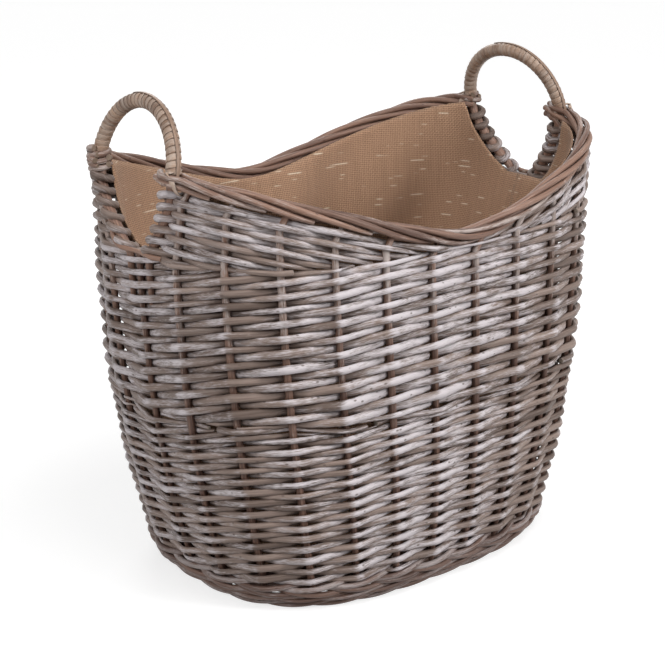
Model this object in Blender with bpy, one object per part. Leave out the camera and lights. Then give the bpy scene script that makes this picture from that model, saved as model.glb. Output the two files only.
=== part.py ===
"""Oval willow log basket with two wrapped hoop handles and a hessian lining.

Metres, +Z up. The origin is on the floor under the middle of the base, +X runs to the right-hand handle
and -Y is the front. Places on the wall are given as a share of the way round, anticlockwise from +X, and
a height. Built as a basket maker does: a base of split sticks, stakes pricked into it and turned up,
two weavers that chase each other, packed corners, and a border rolled from the stakes' own tops.
"""

import math

import bmesh
import bpy
from mathutils import Vector

# Plan and heights of the wall's middle surface, and how far its ends and sides flow out from the base
TOP_HALF_LENGTH = 0.280
TOP_HALF_WIDTH = 0.188
END_FLOW = 0.065
SIDE_FLOW = 0.029
BORDER_LOW = 0.394
BORDER_HIGH = 0.470
BAND_BREAK = 0.213
OVAL_POWER = 2.75
LENGTH_SWELL = 2.6
WIDTH_SWELL = 5.0
DIP_ROUNDING = 0.172

# Rods
STAKES = 26
STAKE_RADIUS = 0.0033
STAKE_TOE = 0.014
STAKE_KINK = 0.005
LEG_TO_STAKE = 0.0125
SECOND_LEAN_SHARE = 0.4
SIDE_DRIFT = 0.019
WEAVER_HALF_THICKNESS = 0.0036
LOWER_PITCH = 0.0128
UPPER_PITCH = 0.0142
CORNER_PITCH = 0.0104
CLEARANCE = 0.0004

# Foot, base and wale
FOOT_POINTS = 28
WALE_HALF_HEIGHT = 0.0032
CROSS_STICKS = 5
SPINE_SHARE = 0.26
CROSS_STICK_RADIUS = 0.0044
LONG_STICK_RADIUS = 0.0028
BASE_WEAVER_RADIUS = 0.0042
BASE_PITCH = 0.0128
BASE_FIRST_ROW = 0.036
BASE_RAISE = 0.0025

# Handles
HANDLE_HALF_WIDTH = 0.071
HANDLE_SET_BACK = 0.014
HANDLE_RISE = 0.066
HANDLE_LEAN = 0.016
BOW_RADIUS = 0.0056
LEG_FOOT_RADIUS = 0.0042
LEG_TIP_RADIUS = 0.0026
LEG_FOOT_OFFSET = 0.0165
LEG_TIP_DEPTH = 0.055
WRAP_PITCH = 0.0132
WRAP_GAP = 0.0016
WRAP_THICKNESS = 0.0012

# Lining
LINING_THICKNESS = 0.0016
LINING_FOLD = 0.0030
LINING_LEVELS = 4
NOTCH_SHARES = (-1, -0.78, -0.5, -0.25, 0, 0.25, 0.5, 0.78, 1)

# Shares of a full turn and counts that shape the curves
BORDER_STRANDS = 4
STEPS_PER_BAY = 2
CLIMB_BAYS = 3
RING_STEPS = 720
ARCH_STEPS = 16
LEG_STEPS = 6
LOOP_STEPS = 6
TURN_STEPS = 4
STAKE_LEVELS = 4
STAKE_SPREAD = 1.3
ROD_SIDES = 6
STAKE_SIDES = 4
STICK_SIDES = 8
MID_HEIGHT_SHARE = 0.5
BEND = math.cos(math.radians(22.5))
TINY_SHARE = 1e-4
HALVINGS = 24
FOLD_TURN = 1.9
TINY_HEIGHT = 1e-4

WALL_HEIGHT = BORDER_HIGH
HALF_STAKES = STAKES // 2
LONG_STAKES = HALF_STAKES - 1

# Sizes that follow from the others
BASE_HALF_LENGTH = TOP_HALF_LENGTH - END_FLOW
BASE_HALF_WIDTH = TOP_HALF_WIDTH - SIDE_FLOW
ROLL_RADIUS = (2 * STAKE_RADIUS + CLEARANCE) / math.sqrt(2) / BEND
BORDER_RADIUS = ROLL_RADIUS + STAKE_RADIUS
NOTCH_FLOOR = BORDER_LOW - BORDER_RADIUS - CLEARANCE
BASE_LIFT = (CROSS_STICK_RADIUS + BASE_WEAVER_RADIUS + CLEARANCE) / BEND
BASE_LEVEL = BASE_RAISE + BASE_WEAVER_RADIUS + BASE_LIFT
FOOT_CENTRE = (BASE_LEVEL - STAKE_RADIUS - CLEARANCE) / 2
FOOT_RADIUS = FOOT_CENTRE / math.cos(math.radians(30))
WALE_LEVEL = BASE_LEVEL + STAKE_RADIUS + 2 * WALE_HALF_HEIGHT + CLEARANCE
LOWER_START = WALE_LEVEL + 2 * WALE_HALF_HEIGHT + CLEARANCE
STAKE_OFFSET = (STAKE_RADIUS + WEAVER_HALF_THICKNESS + CLEARANCE) / BEND
LEG_OFFSET = (LEG_FOOT_RADIUS + WEAVER_HALF_THICKNESS + CLEARANCE) / BEND
BOW_OFFSET = (BOW_RADIUS + WEAVER_HALF_THICKNESS + CLEARANCE) / BEND
SIDE_REACH = STAKE_OFFSET + WEAVER_HALF_THICKNESS
END_REACH = BOW_OFFSET + WEAVER_HALF_THICKNESS

BARK_BROWN = (0.235, 0.150, 0.105, 1)
WASHED_GREY = (0.400, 0.345, 0.305, 1)
WRAP_BROWN = (0.300, 0.200, 0.140, 1)
HESSIAN_TAN = (0.395, 0.255, 0.145, 1)

DIAMOND = [(1, 0), (0, 1), (-1, 0), (0, -1)]
HEXAGON = [(math.cos(math.radians(a)), math.sin(math.radians(a))) for a in range(0, 360, 60)]


def clear_scene():
    for old in list(bpy.data.objects):
        bpy.data.objects.remove(old)


def finish(name, colour, roughness):
    made = bpy.data.materials.new(name)
    made.use_nodes = True
    shader = made.node_tree.nodes["Principled BSDF"]
    shader.inputs["Base Color"].default_value = colour
    shader.inputs["Roughness"].default_value = roughness
    shader.inputs["Metallic"].default_value = 0
    return made


# The wall's middle surface


def oval(half_length, half_width, angle):
    """A point of the plan: an oval fuller than an ellipse."""
    c, s = math.cos(angle), math.sin(angle)
    reach = (abs(c) ** OVAL_POWER + abs(s) ** OVAL_POWER) ** (-1 / OVAL_POWER)
    return half_length * c * reach, half_width * s * reach


def half_sizes(height):
    """The plan's half length and half width at a height, which swell out from the base."""
    left = 1 - min(max(height / WALL_HEIGHT, 0), 1)
    return (
        BASE_HALF_LENGTH + (TOP_HALF_LENGTH - BASE_HALF_LENGTH) * (1 - left**LENGTH_SWELL),
        BASE_HALF_WIDTH + (TOP_HALF_WIDTH - BASE_HALF_WIDTH) * (1 - left**WIDTH_SWELL),
    )


def walked_round():
    """The length walked round the plan at mid height, at each of RING_STEPS angles."""
    sizes = half_sizes(WALL_HEIGHT * MID_HEIGHT_SHARE)
    ring = [Vector(oval(*sizes, math.tau * i / RING_STEPS)) for i in range(RING_STEPS + 1)]
    walked = [0.0]
    for before, after in zip(ring, ring[1:]):
        walked.append(walked[-1] + (after - before).length)
    return walked


WALKED = walked_round()
PERIMETER = WALKED[-1]


def angle_at(share):
    """The angle at which this share of the way round has been walked."""
    turns = math.floor(share)
    wanted = (share - turns) * PERIMETER
    low, high = 0, RING_STEPS
    while high - low > 1:
        middle = (low + high) // 2
        if WALKED[middle] <= wanted:
            low = middle
        else:
            high = middle
    part = (wanted - WALKED[low]) / (WALKED[high] - WALKED[low])
    return math.tau * (turns + (low + part) / RING_STEPS)


def on_wall(share, height):
    x, y = oval(*half_sizes(height), angle_at(share))
    return Vector((x, y, height))


def wall_axes(share, height):
    """Outward, and up along the wall, both of length one."""
    along = on_wall(share + TINY_SHARE, height) - on_wall(share - TINY_SHARE, height)
    up = on_wall(share, height + TINY_HEIGHT) - on_wall(share, height - TINY_HEIGHT)
    return along.cross(up).normalized(), up.normalized()


def off_wall(share, height, out):
    return on_wall(share, height) + wall_axes(share, height)[0] * out


def level_out(share, height):
    out = wall_axes(share, height)[0]
    return Vector((out.x, out.y, 0)).normalized()


def border_height(share):
    """The border dips in the middle of the long sides and sweeps up to the handles."""
    x = oval(TOP_HALF_LENGTH, TOP_HALF_WIDTH, angle_at(share))[0]
    along = abs(x) / TOP_HALF_LENGTH
    rise = math.hypot(along, DIP_ROUNDING) - DIP_ROUNDING
    return BORDER_LOW + (BORDER_HIGH - BORDER_LOW) * rise / (math.hypot(1, DIP_ROUNDING) - DIP_ROUNDING)


def drifted(share, height):
    """A share moved clockwise as the wall drifts while it is woven, most in the middle of the long sides."""
    grown = min(max(height, 0), NOTCH_FLOOR) / NOTCH_FLOOR
    return share - SIDE_DRIFT / PERIMETER * grown * math.sin(math.tau * share) ** 2


def up_the_notch(height):
    """The part of the way from the bottom of a notch up to the border."""
    return min(max((height - NOTCH_FLOOR) / (BORDER_HIGH - NOTCH_FLOOR), 0), 1)


def spread(height):
    """The part of its whole spread that a leg, or the stake beside it, has reached at a height."""
    return math.sin(up_the_notch(height) * math.pi / 2)


def leg_place(end, side, height):
    """A bow's leg along the wall from the middle of its end. The bow stands nearer the basket's back."""
    back = 1 if end == 0 else -1
    foot = side * LEG_FOOT_OFFSET
    top = side * HANDLE_HALF_WIDTH + back * HANDLE_SET_BACK
    return foot + (top - foot) * spread(height)


def leg_share(end, side, height):
    """The share at which a leg stands: end 0 is the right one, 1 the left."""
    return end / 2 + leg_place(end, side, height) / PERIMETER


def post_share(post, height):
    """Where a stake stands. The first two beside each leg lean away from it above the notch."""
    share = drifted(post / STAKES, height)
    beside = min(post % HALF_STAKES, -post % HALF_STAKES)
    if beside not in (1, 2):
        return share
    side = 1 if post % HALF_STAKES == beside else -1
    first = post + side * (1 - beside)
    nearest = round(2 * first / STAKES)
    stands = nearest / 2 + (leg_place(nearest % 2, side, BORDER_HIGH) + side * LEG_TO_STAKE) / PERIMETER
    lean = stands - drifted(first / STAKES, BORDER_HIGH)
    return share + lean * spread(height) * (1 if beside == 1 else SECOND_LEAN_SHARE)


# Solids from paths


def add_mesh(name, mesh, material):
    bmesh.ops.recalc_face_normals(mesh, faces=mesh.faces)
    data = bpy.data.meshes.new(name)
    mesh.to_mesh(data)
    mesh.free()
    data.materials.append(material)
    made = bpy.data.objects.new(name, data)
    bpy.context.scene.collection.objects.link(made)
    return made


def rod(name, points, radii, material, sides=ROD_SIDES):
    """A round rod along a line of points, with a radius at each."""
    data = bpy.data.curves.new(name, "CURVE")
    data.dimensions = "3D"
    data.bevel_depth = 1
    data.bevel_resolution = (sides - 4) // 2
    data.use_fill_caps = True
    line = data.splines.new("POLY")
    line.points.add(len(points) - 1)
    for place, point, radius in zip(line.points, points, radii):
        place.co = (*point, 1)
        place.radius = radius
    data.materials.append(material)
    made = bpy.data.objects.new(name, data)
    bpy.context.scene.collection.objects.link(made)
    return made


def even_rows(room, pitch):
    """How many rows of about this pitch fill a band, kept even for two weavers, and their own pitch."""
    rows = 2 * max(round(room / pitch / 2), 1)
    return rows, room / rows


def sweep(name, path, section, material, closed=False):
    """A section of (out, up) pairs carried along a path of (point, up direction), and kept upright."""
    mesh = bmesh.new()
    rings = []
    count = len(path)
    for i, (point, up) in enumerate(path):
        before = path[(i - 1) % count if closed else max(i - 1, 0)][0]
        after = path[(i + 1) % count if closed else min(i + 1, count - 1)][0]
        side = (after - before).cross(up).normalized()
        rings.append([mesh.verts.new(point + side * x + up * y) for x, y in section])
    pairs = list(zip(rings, rings[1:]))
    if closed:
        pairs.append((rings[-1], rings[0]))
    else:
        mesh.faces.new(rings[0])
        mesh.faces.new(rings[-1])
    for near, far in pairs:
        for i in range(len(section)):
            j = (i + 1) % len(section)
            mesh.faces.new((near[i], near[j], far[j], far[i]))
    return add_mesh(name, mesh, material)


def scaled(section, half_thickness, half_height):
    return [(x * half_thickness, y * half_height) for x, y in section]


# Base: split cross sticks threaded on three long sticks, and the weave round them

BASE_SPINE = BASE_HALF_LENGTH * SPINE_SHARE
LONG_STICK_PITCH = 2 * LONG_STICK_RADIUS + CLEARANCE


def cross_stick_x(index):
    return BASE_SPINE * (1 - 2 * index / (CROSS_STICKS - 1))


def base_posts():
    """Each stick's end as (anchor on the spine, direction), anticlockwise from the right."""
    slant = math.sqrt(0.5)
    fan = [Vector((slant, -slant, 0)), Vector((1, 0, 0)), Vector((slant, slant, 0))]
    right = Vector((BASE_SPINE, 0, 0))
    far_side = [(Vector((cross_stick_x(i), 0, 0)), Vector((0, 1, 0))) for i in range(CROSS_STICKS)]
    near_side = [(anchor, -way) for anchor, way in reversed(far_side)]
    return [(right, way) for way in fan] + far_side + [(-right, -way) for way in fan] + near_side


def base_edge():
    """The centre line of the round that binds the base's edge, with a corner at the toe of each stake."""
    inset = STAKE_TOE + CLEARANCE + BASE_WEAVER_RADIUS
    shares = [post / STAKES for post in range(STAKES)]
    return [on_wall(share, BASE_LEVEL) - level_out(share, BASE_LEVEL) * inset for share in shares]


def edge_distance(anchor, way):
    """How far a base stick runs from its anchor before its end meets the round at the edge."""
    edge = base_edge()
    reach = BASE_HALF_LENGTH
    for near, far in zip(edge, edge[1:] + edge[:1]):
        along = (far - near).normalized()
        outward = Vector((along.y, -along.x, 0))
        if way.dot(outward) > 0:
            keep = BASE_WEAVER_RADIUS + CLEARANCE + CROSS_STICK_RADIUS * abs(way.dot(along))
            reach = min(reach, ((near - anchor).dot(outward) - keep) / way.dot(outward))
    return reach


def make_base(stick_finish, weaver_finish):
    for index in range(CROSS_STICKS):
        x = cross_stick_x(index)
        reach = edge_distance(Vector((x, 0, 0)), Vector((0, 1, 0)))
        ends = [Vector((x, -reach, BASE_LEVEL)), Vector((x, reach, BASE_LEVEL))]
        bpy.ops.mesh.primitive_cylinder_add(
            vertices=STICK_SIDES,
            radius=CROSS_STICK_RADIUS,
            depth=(ends[1] - ends[0]).length,
            location=(ends[0] + ends[1]) / 2,
            rotation=(math.pi / 2, 0, 0),
        )
        stick = bpy.context.object
        stick.name = f"base_cross_stick_{index + 1}"
        stick.data.materials.append(stick_finish)
        bpy.ops.mesh.primitive_cube_add(size=1, location=(x, 0, BASE_LEVEL))
        slot = bpy.context.object
        slot.name = f"slot_{index + 1}"
        slot.scale = (
            4 * CROSS_STICK_RADIUS,
            2 * (LONG_STICK_PITCH + LONG_STICK_RADIUS + CLEARANCE),
            2 * (LONG_STICK_RADIUS + CLEARANCE),
        )
        slot.hide_render = True
        slot.display_type = "WIRE"
        cut = stick.modifiers.new("split", "BOOLEAN")
        cut.operation = "DIFFERENCE"
        cut.object = slot
    for lane, name in zip((-1, 0, 1), ("front", "middle", "back")):
        y = lane * LONG_STICK_PITCH
        half = [Vector((0, y, 0)), Vector((BASE_SPINE + abs(y), y, 0))]
        way = Vector((1, lane, 0)).normalized()
        spine_end = Vector((BASE_SPINE, 0, 0))
        half.append(spine_end + way * edge_distance(spine_end, way))
        level = Vector((0, 0, BASE_LEVEL))
        points = [Vector((-p.x, p.y, 0)) + level for p in reversed(half)] + [p + level for p in half[1:]]
        rod(f"base_long_stick_{name}", points, [LONG_STICK_RADIUS] * len(points), stick_finish)
    edge = [(point, Vector((0, 0, 1))) for point in base_edge()]
    section = scaled(DIAMOND, BASE_WEAVER_RADIUS, BASE_WEAVER_RADIUS)
    sweep("base_edge_rod", edge, section, weaver_finish, closed=True)
    posts = base_posts()
    room = min(edge_distance(anchor, way) for anchor, way in posts) - BASE_WEAVER_RADIUS - BASE_FIRST_ROW
    rows, pitch = even_rows(room, BASE_PITCH)
    half_width = min(BASE_WEAVER_RADIUS, (pitch - CLEARANCE) / 2)
    for chase, name in enumerate(("base_weaver_a", "base_weaver_b")):
        path = []
        for step in range(len(posts) * (rows // 2 - chase) + 1):
            anchor, way = posts[step % len(posts)]
            row = 2 * step / len(posts) + chase
            last = edge_distance(anchor, way) - BASE_WEAVER_RADIUS
            out = BASE_FIRST_ROW + (last - BASE_FIRST_ROW) * row / rows
            side = 1 if (step + chase) % 2 else -1
            centre = anchor + way * out + Vector((0, 0, BASE_LEVEL + side * BASE_LIFT))
            path.append((centre, Vector((0, 0, 1))))
        sweep(name, path, scaled(DIAMOND, half_width, BASE_WEAVER_RADIUS), weaver_finish)


# Foot hoop and the wale that grips the upturned stakes


def make_foot(material):
    ring = []
    for i in range(FOOT_POINTS):
        x, y = oval(BASE_HALF_LENGTH, BASE_HALF_WIDTH, angle_at(i / FOOT_POINTS))
        ring.append((Vector((x, y, FOOT_CENTRE)), Vector((0, 0, 1))))
    sweep("foot_hoop", ring, scaled(HEXAGON, FOOT_RADIUS, FOOT_RADIUS), material, closed=True)
    for turn, name in enumerate(("foot_wale_a", "foot_wale_b")):
        path = []
        for post in range(STAKES):
            side = 1 if (post + turn) % 2 else -1
            for half, out, lift in ((0, side * STAKE_OFFSET, 0), (0.5, 0, side * WALE_HALF_HEIGHT)):
                level = WALE_LEVEL + lift * (1 + CLEARANCE / WALE_HALF_HEIGHT)
                share = drifted((post + half) / STAKES, level)
                path.append((off_wall(share, level, out), wall_axes(share, level)[1]))
        section = scaled(DIAMOND, WEAVER_HALF_THICKNESS, WALE_HALF_HEIGHT)
        sweep(name, path, section, material, closed=True)


# Level weave: two weavers chase each other, and climb two rows in the last bays of each turn


def level_weaver(name, first_height, pitch, rows, chase, end_offset, material):
    path = []
    for step in range(STAKES * rows // 2 - CLIMB_BAYS + 1):
        turn, post = divmod(step, STAKES)
        climb = max(post - (STAKES - CLIMB_BAYS), 0) / CLIMB_BAYS
        height = first_height + pitch * (2 * (turn + climb) + chase + 0.5)
        side = 1 if (post + chase) % 2 else -1
        at_end = post % HALF_STAKES == 0
        apart = LEG_FOOT_OFFSET / PERIMETER if at_end and end_offset > STAKE_OFFSET else 0
        out = side * (end_offset if at_end else STAKE_OFFSET)
        for shift in (-apart, apart) if apart else (0,):
            share = post_share(post, height) + shift
            if step == 0 and shift < 0:
                continue
            path.append((off_wall(share, height, out), wall_axes(share, height)[1]))
    slope = 2 * pitch * STAKES / (CLIMB_BAYS * PERIMETER)
    half_height = (pitch * math.cos(math.atan(slope)) - CLEARANCE) / 2
    sweep(name, path, scaled(DIAMOND, WEAVER_HALF_THICKNESS, half_height), material)


def make_level_weave(material):
    bands = (
        ("lower", LOWER_START, BAND_BREAK, LOWER_PITCH, STAKE_OFFSET),
        ("upper", BAND_BREAK, NOTCH_FLOOR, UPPER_PITCH, LEG_OFFSET),
    )
    for band, low, high, wanted_pitch, end_offset in bands:
        rows, pitch = even_rows(high - low, wanted_pitch)
        for chase, letter in enumerate("ab"):
            level_weaver(f"{band}_weaver_{letter}", low, pitch, rows, chase, end_offset, material)


# Handles: a bow whose legs lean in down the notch and are pushed in beside the end stake


def leg_radius_at(height):
    if height < NOTCH_FLOOR:
        up = (height - NOTCH_FLOOR + LEG_TIP_DEPTH) / LEG_TIP_DEPTH
        return LEG_TIP_RADIUS + (LEG_FOOT_RADIUS - LEG_TIP_RADIUS) * max(up, 0)
    return LEG_FOOT_RADIUS + (BOW_RADIUS - LEG_FOOT_RADIUS) * up_the_notch(height)


def bow_leg(end, side):
    """Points of one leg, from its tip up to the border, with their radii."""
    low = NOTCH_FLOOR - LEG_TIP_DEPTH
    points, radii = [], []
    for i in range(LEG_STEPS + 1):
        height = low + (BORDER_HIGH - low) * i / LEG_STEPS
        points.append(on_wall(leg_share(end, side, height), height))
        radii.append(leg_radius_at(height))
    return points, radii


def bow_arch(end, angle):
    """A point of the arch, which leans in over the basket, at an angle from one leg over to the other."""
    first, last = (on_wall(leg_share(end, side, BORDER_HIGH), BORDER_HIGH) for side in (-1, 1))
    middle, half = (first + last) / 2, (first - last) / 2
    lean = Vector((-math.copysign(HANDLE_LEAN, middle.x), 0, HANDLE_RISE))
    return middle + half * math.cos(angle) + lean * math.sin(angle)


def make_wrap(name, end, material):
    """A flat strip wound round the arch as one helix, as wide as each loop has room for."""
    sag = HANDLE_HALF_WIDTH * (1 - math.cos(math.pi / (2 * ARCH_STEPS)))
    inner = (BOW_RADIUS + CLEARANCE + sag) / math.cos(math.pi / LOOP_STEPS)
    arch = [bow_arch(end, math.pi * i / RING_STEPS) for i in range(RING_STEPS + 1)]
    length = sum((after - before).length for before, after in zip(arch, arch[1:]))
    steps = int(length / WRAP_PITCH) * LOOP_STEPS

    def strip(i, turn, radius):
        """A point at a distance from the bow, facing the way of a turn, at a step along the arch."""
        angle = math.pi * (i + LOOP_STEPS / 2) / (steps + LOOP_STEPS)
        ahead = (bow_arch(end, angle + TINY_SHARE) - bow_arch(end, angle - TINY_SHARE)).normalized()
        flat = (Vector((1, 0, 0)) - ahead * ahead.x).normalized()
        out = flat * math.cos(turn) + ahead.cross(flat) * math.sin(turn)
        return bow_arch(end, angle) + out * radius, ahead

    mesh = bmesh.new()
    rings = []
    for i in range(steps + 1):
        turn = math.tau * i / LOOP_STEPS
        before, after = (strip(i + half * LOOP_STEPS / 2, turn, inner)[0] for half in (-1, 1))
        half_width = ((after - before).length - WRAP_GAP) / 2
        low, ahead = strip(i, turn, inner)
        high = strip(i, turn, inner + WRAP_THICKNESS)[0]
        half = ahead * half_width
        rings.append([mesh.verts.new(p) for p in (low - half, low + half, high + half, high - half)])
    gap = min(
        (rings[i][1].co - rings[i + LOOP_STEPS][0].co).length for i in range(len(rings) - LOOP_STEPS)
    )
    mesh.faces.new(rings[0])
    mesh.faces.new(rings[-1])
    for near, far in zip(rings, rings[1:]):
        for i in range(4):
            j = (i + 1) % 4
            mesh.faces.new((near[i], near[j], far[j], far[i]))
    add_mesh(name, mesh, material)
    return gap


def make_handles(bow_finish, wrap_finish):
    for end, name in enumerate(("right", "left")):
        first, first_radii = bow_leg(end, -1)
        last, last_radii = bow_leg(end, 1)
        arch = [bow_arch(end, math.pi * i / ARCH_STEPS) for i in range(1, ARCH_STEPS)]
        points = first + arch + last[::-1]
        radii = first_radii + [BOW_RADIUS] * len(arch) + last_radii[::-1]
        rod(f"handle_bow_{name}", points, radii, bow_finish)
        gap = make_wrap(f"handle_wrap_{name}", end, wrap_finish)
        print(f"least gap of the {name} handle's wrap to itself: {gap * 1000:.2f} mm")


# Stakes, which turn over at the top and roll into the border


def border_share(first, along):
    """The share at a number of bays along a border, whose first stake is given."""
    post = math.floor(along)
    post = min(max(post, 0), LONG_STAKES - 2)
    near = post_share(first + post, BORDER_HIGH)
    far = post_share(first + post + 1, BORDER_HIGH)
    return near + (far - near) * (along - post)


def border_centre(first, along):
    share = border_share(first, along)
    return on_wall(share, border_height(share))


def border_point(first, along, angle):
    """A point round the border's centre line, at an angle from outward towards up."""
    ahead = (border_centre(first, along + TINY_SHARE) - border_centre(first, along - TINY_SHARE)).normalized()
    share = border_share(first, along)
    out = level_out(share, border_height(share))
    up = ahead.cross(-out).normalized()
    return border_centre(first, along) + (out * math.cos(angle) + up * math.sin(angle)) * ROLL_RADIUS


def border_run(first, rolled_from, begin, end):
    """A rod's run in the border: under it, up its inside, over the top and down its outside."""
    steps = [begin]
    marks = range(math.floor(begin * STEPS_PER_BAY) + 1, math.ceil(end * STEPS_PER_BAY))
    steps += [mark / STEPS_PER_BAY for mark in marks if mark / STEPS_PER_BAY > begin]
    steps.append(end)
    quarter = math.tau / BORDER_STRANDS
    return [border_point(first, s, -math.pi / 2 - quarter * (s - rolled_from)) for s in steps]


def in_bays(length, first, along):
    """A length as a share of the bay that starts here, or of the border's last bay."""
    near = min(along, LONG_STAKES - 2)
    return length / (border_centre(first, near + 1) - border_centre(first, near)).length


def stake_path(post, top):
    """From the toe in the base, round the kink at the foot and up the wall to a height."""
    share = post / STAKES
    foot = on_wall(share, BASE_LEVEL)
    out = level_out(share, BASE_LEVEL)
    toe = foot - out * STAKE_TOE
    points = [toe, foot - out * STAKE_KINK]
    heights = [BASE_LEVEL + STAKE_KINK]
    parts = [((i + 1) / STAKE_LEVELS) ** STAKE_SPREAD for i in range(STAKE_LEVELS)]
    heights += [heights[0] + (NOTCH_FLOOR - heights[0]) * part for part in parts]
    points += [on_wall(post_share(post, h), h) for h in heights if h < top - STAKE_KINK]
    points.append(on_wall(post_share(post, top), top))
    return points


def make_stakes(material):
    first_number = 1
    tail_gap = 2 * STAKE_RADIUS + 2 * CLEARANCE + STAKE_KINK / 2
    for first, side in ((1, "back"), (HALF_STAKES + 1, "front")):
        for number in range(LONG_STAKES):
            post = first + number
            along = float(number)
            entry = border_point(first, along, -math.pi / 2)
            points = stake_path(post, entry.z - STAKE_KINK)
            end = min(along + BORDER_STRANDS - in_bays(tail_gap, first, along), LONG_STAKES - 1)
            begin = along + in_bays(STAKE_KINK, first, along)
            if end > begin:
                points += border_run(first, along, begin, end)
            else:
                points.append(entry)
            name = f"side_stake_{first_number + number:02d}"
            rod(name, points, [STAKE_RADIUS] * len(points), material, sides=STAKE_SIDES)
        first_number += LONG_STAKES
        for missing in range(1, BORDER_STRANDS):
            last = BORDER_STRANDS - missing
            run = border_run(first, -missing, 0.0, last - in_bays(tail_gap, first, last))
            name = f"border_starter_{side}_{missing}"
            rod(name, run, [STAKE_RADIUS] * len(run), material)
    for post, side in ((0, "right"), (HALF_STAKES, "left")):
        points = stake_path(post, NOTCH_FLOOR + STAKE_RADIUS)
        rod(f"end_stake_{side}", points, [STAKE_RADIUS] * len(points), material)


# Packed corners: short rows that turn round the bow's leg and raise the ends


def corner_rows_at(share):
    """How many corner rows fit between the level weave and the border here, and their pitch."""
    room = border_height(share) - BORDER_RADIUS - CLEARANCE - NOTCH_FLOOR
    rows = int(room / CORNER_PITCH)
    return rows, room / max(rows, 1)


def corner_posts(first, way):
    """Each post's share as a function of height: the bow's leg, then the stakes away from it."""
    end = 0 if first in (1, STAKES - 1) else 1
    posts = [lambda height: leg_share(end, way, height)]
    for number in range(HALF_STAKES // 2 + 1):
        posts.append(lambda height, post=first + way * number: post_share(post, height))
    return posts


def row_reach(posts, rows_down):
    """The last post that a corner row, counted down from the border, still has room to pass."""
    return max(i for i, post in enumerate(posts) if i < 2 or corner_rows_at(post(BORDER_HIGH))[0] > rows_down)


def row_height(posts, index, rows_down):
    share = posts[index](BORDER_HIGH)
    pitch = corner_rows_at(share)[1]
    return border_height(share) - BORDER_RADIUS - CLEARANCE - pitch * (rows_down + 0.5)


def corner_turn(posts, index, rows_down, way, side, beyond):
    """Points round one post, from this row up to the next one above it."""
    low = row_height(posts, index, rows_down)
    high = row_height(posts, index, rows_down - 1)
    radius = BOW_OFFSET if index == 0 else STAKE_OFFSET
    middle = (low + high) / 2
    slope = (posts[index](middle + TINY_HEIGHT) - posts[index](middle)) * PERIMETER / TINY_HEIGHT
    swell = math.hypot(1, slope)
    points = []
    for step in range(TURN_STEPS + 1):
        swing = math.pi * step / TURN_STEPS
        height = low + (high - low) * step / TURN_STEPS
        share = posts[index](height) + way * beyond * math.sin(swing) * radius * swell / PERIMETER
        out = side * math.cos(swing) * radius
        points.append((off_wall(share, height, out), wall_axes(share, height)[1]))
    return points


def corner_path(first, way):
    posts = corner_posts(first, way)
    path = []
    rows = min(corner_rows_at(post(BORDER_HIGH))[0] for post in posts[:2])
    rows_down = rows - 1
    reach = [row_reach(posts, r) for r in range(rows)]
    outbound = True
    while rows_down >= 0:
        pair = reach[rows_down] if outbound else turned_at
        passed = range(0, pair + 1) if outbound else range(pair, -1, -1)
        for index in passed:
            beside_leg = max(index, 1)
            side = (1 if beside_leg % 2 else -1) * (1 if outbound else -1)
            last = index == passed[-1]
            if last and rows_down > 0:
                path += corner_turn(posts, index, rows_down, way, side, 1 if outbound else -1)
                continue
            if index == passed[0] and path:
                continue
            height = row_height(posts, index, rows_down)
            share = posts[index](height)
            out = side * (BOW_OFFSET if index == 0 else STAKE_OFFSET)
            path.append((off_wall(share, height, out), wall_axes(share, height)[1]))
        turned_at = pair
        outbound = not outbound
        rows_down -= 1
    return path


def make_corners(material):
    section = scaled(DIAMOND, WEAVER_HALF_THICKNESS, (CORNER_PITCH - CLEARANCE) / 2)
    corners = (
        ("back_right", 1, 1),
        ("back_left", HALF_STAKES - 1, -1),
        ("front_left", HALF_STAKES + 1, 1),
        ("front_right", STAKES - 1, -1),
    )
    for name, first, way in corners:
        sweep(f"corner_packing_{name}", corner_path(first, way), section, material)


# Lining: a hessian bag against the weave, cut out at the notches and caught under the border


def lining_columns():
    """Shares round the lining: close together at the notches, and one at each stake elsewhere."""
    columns = []
    for end in (0, 1):
        for part in NOTCH_SHARES:
            side = 1 if part > 0 else -1
            columns.append(end / 2 + abs(part) * leg_place(end, side, BORDER_HIGH) / PERIMETER)
        columns += [end / 2 + post / STAKES for post in range(2, HALF_STAKES - 1)]
    return columns


def past_leg(share, height):
    """How far beyond the nearer leg of its end a share lies at a height: less than zero in the notch."""
    nearest = round(share * 2)
    offset = (share - nearest / 2) * PERIMETER
    side = 1 if offset > 0 else -1
    return (offset - leg_place(nearest % 2, side, height)) * side


def lining_top(share):
    """The cloth's edge: under the border, and down round each notch."""
    if past_leg(share, BORDER_HIGH) > -STAKE_RADIUS * TINY_SHARE:
        return border_height(share)
    low, high = NOTCH_FLOOR, BORDER_HIGH
    for _ in range(HALVINGS):
        middle = (low + high) / 2
        if past_leg(share, middle) > 0:
            low = middle
        else:
            high = middle
    return low


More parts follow.
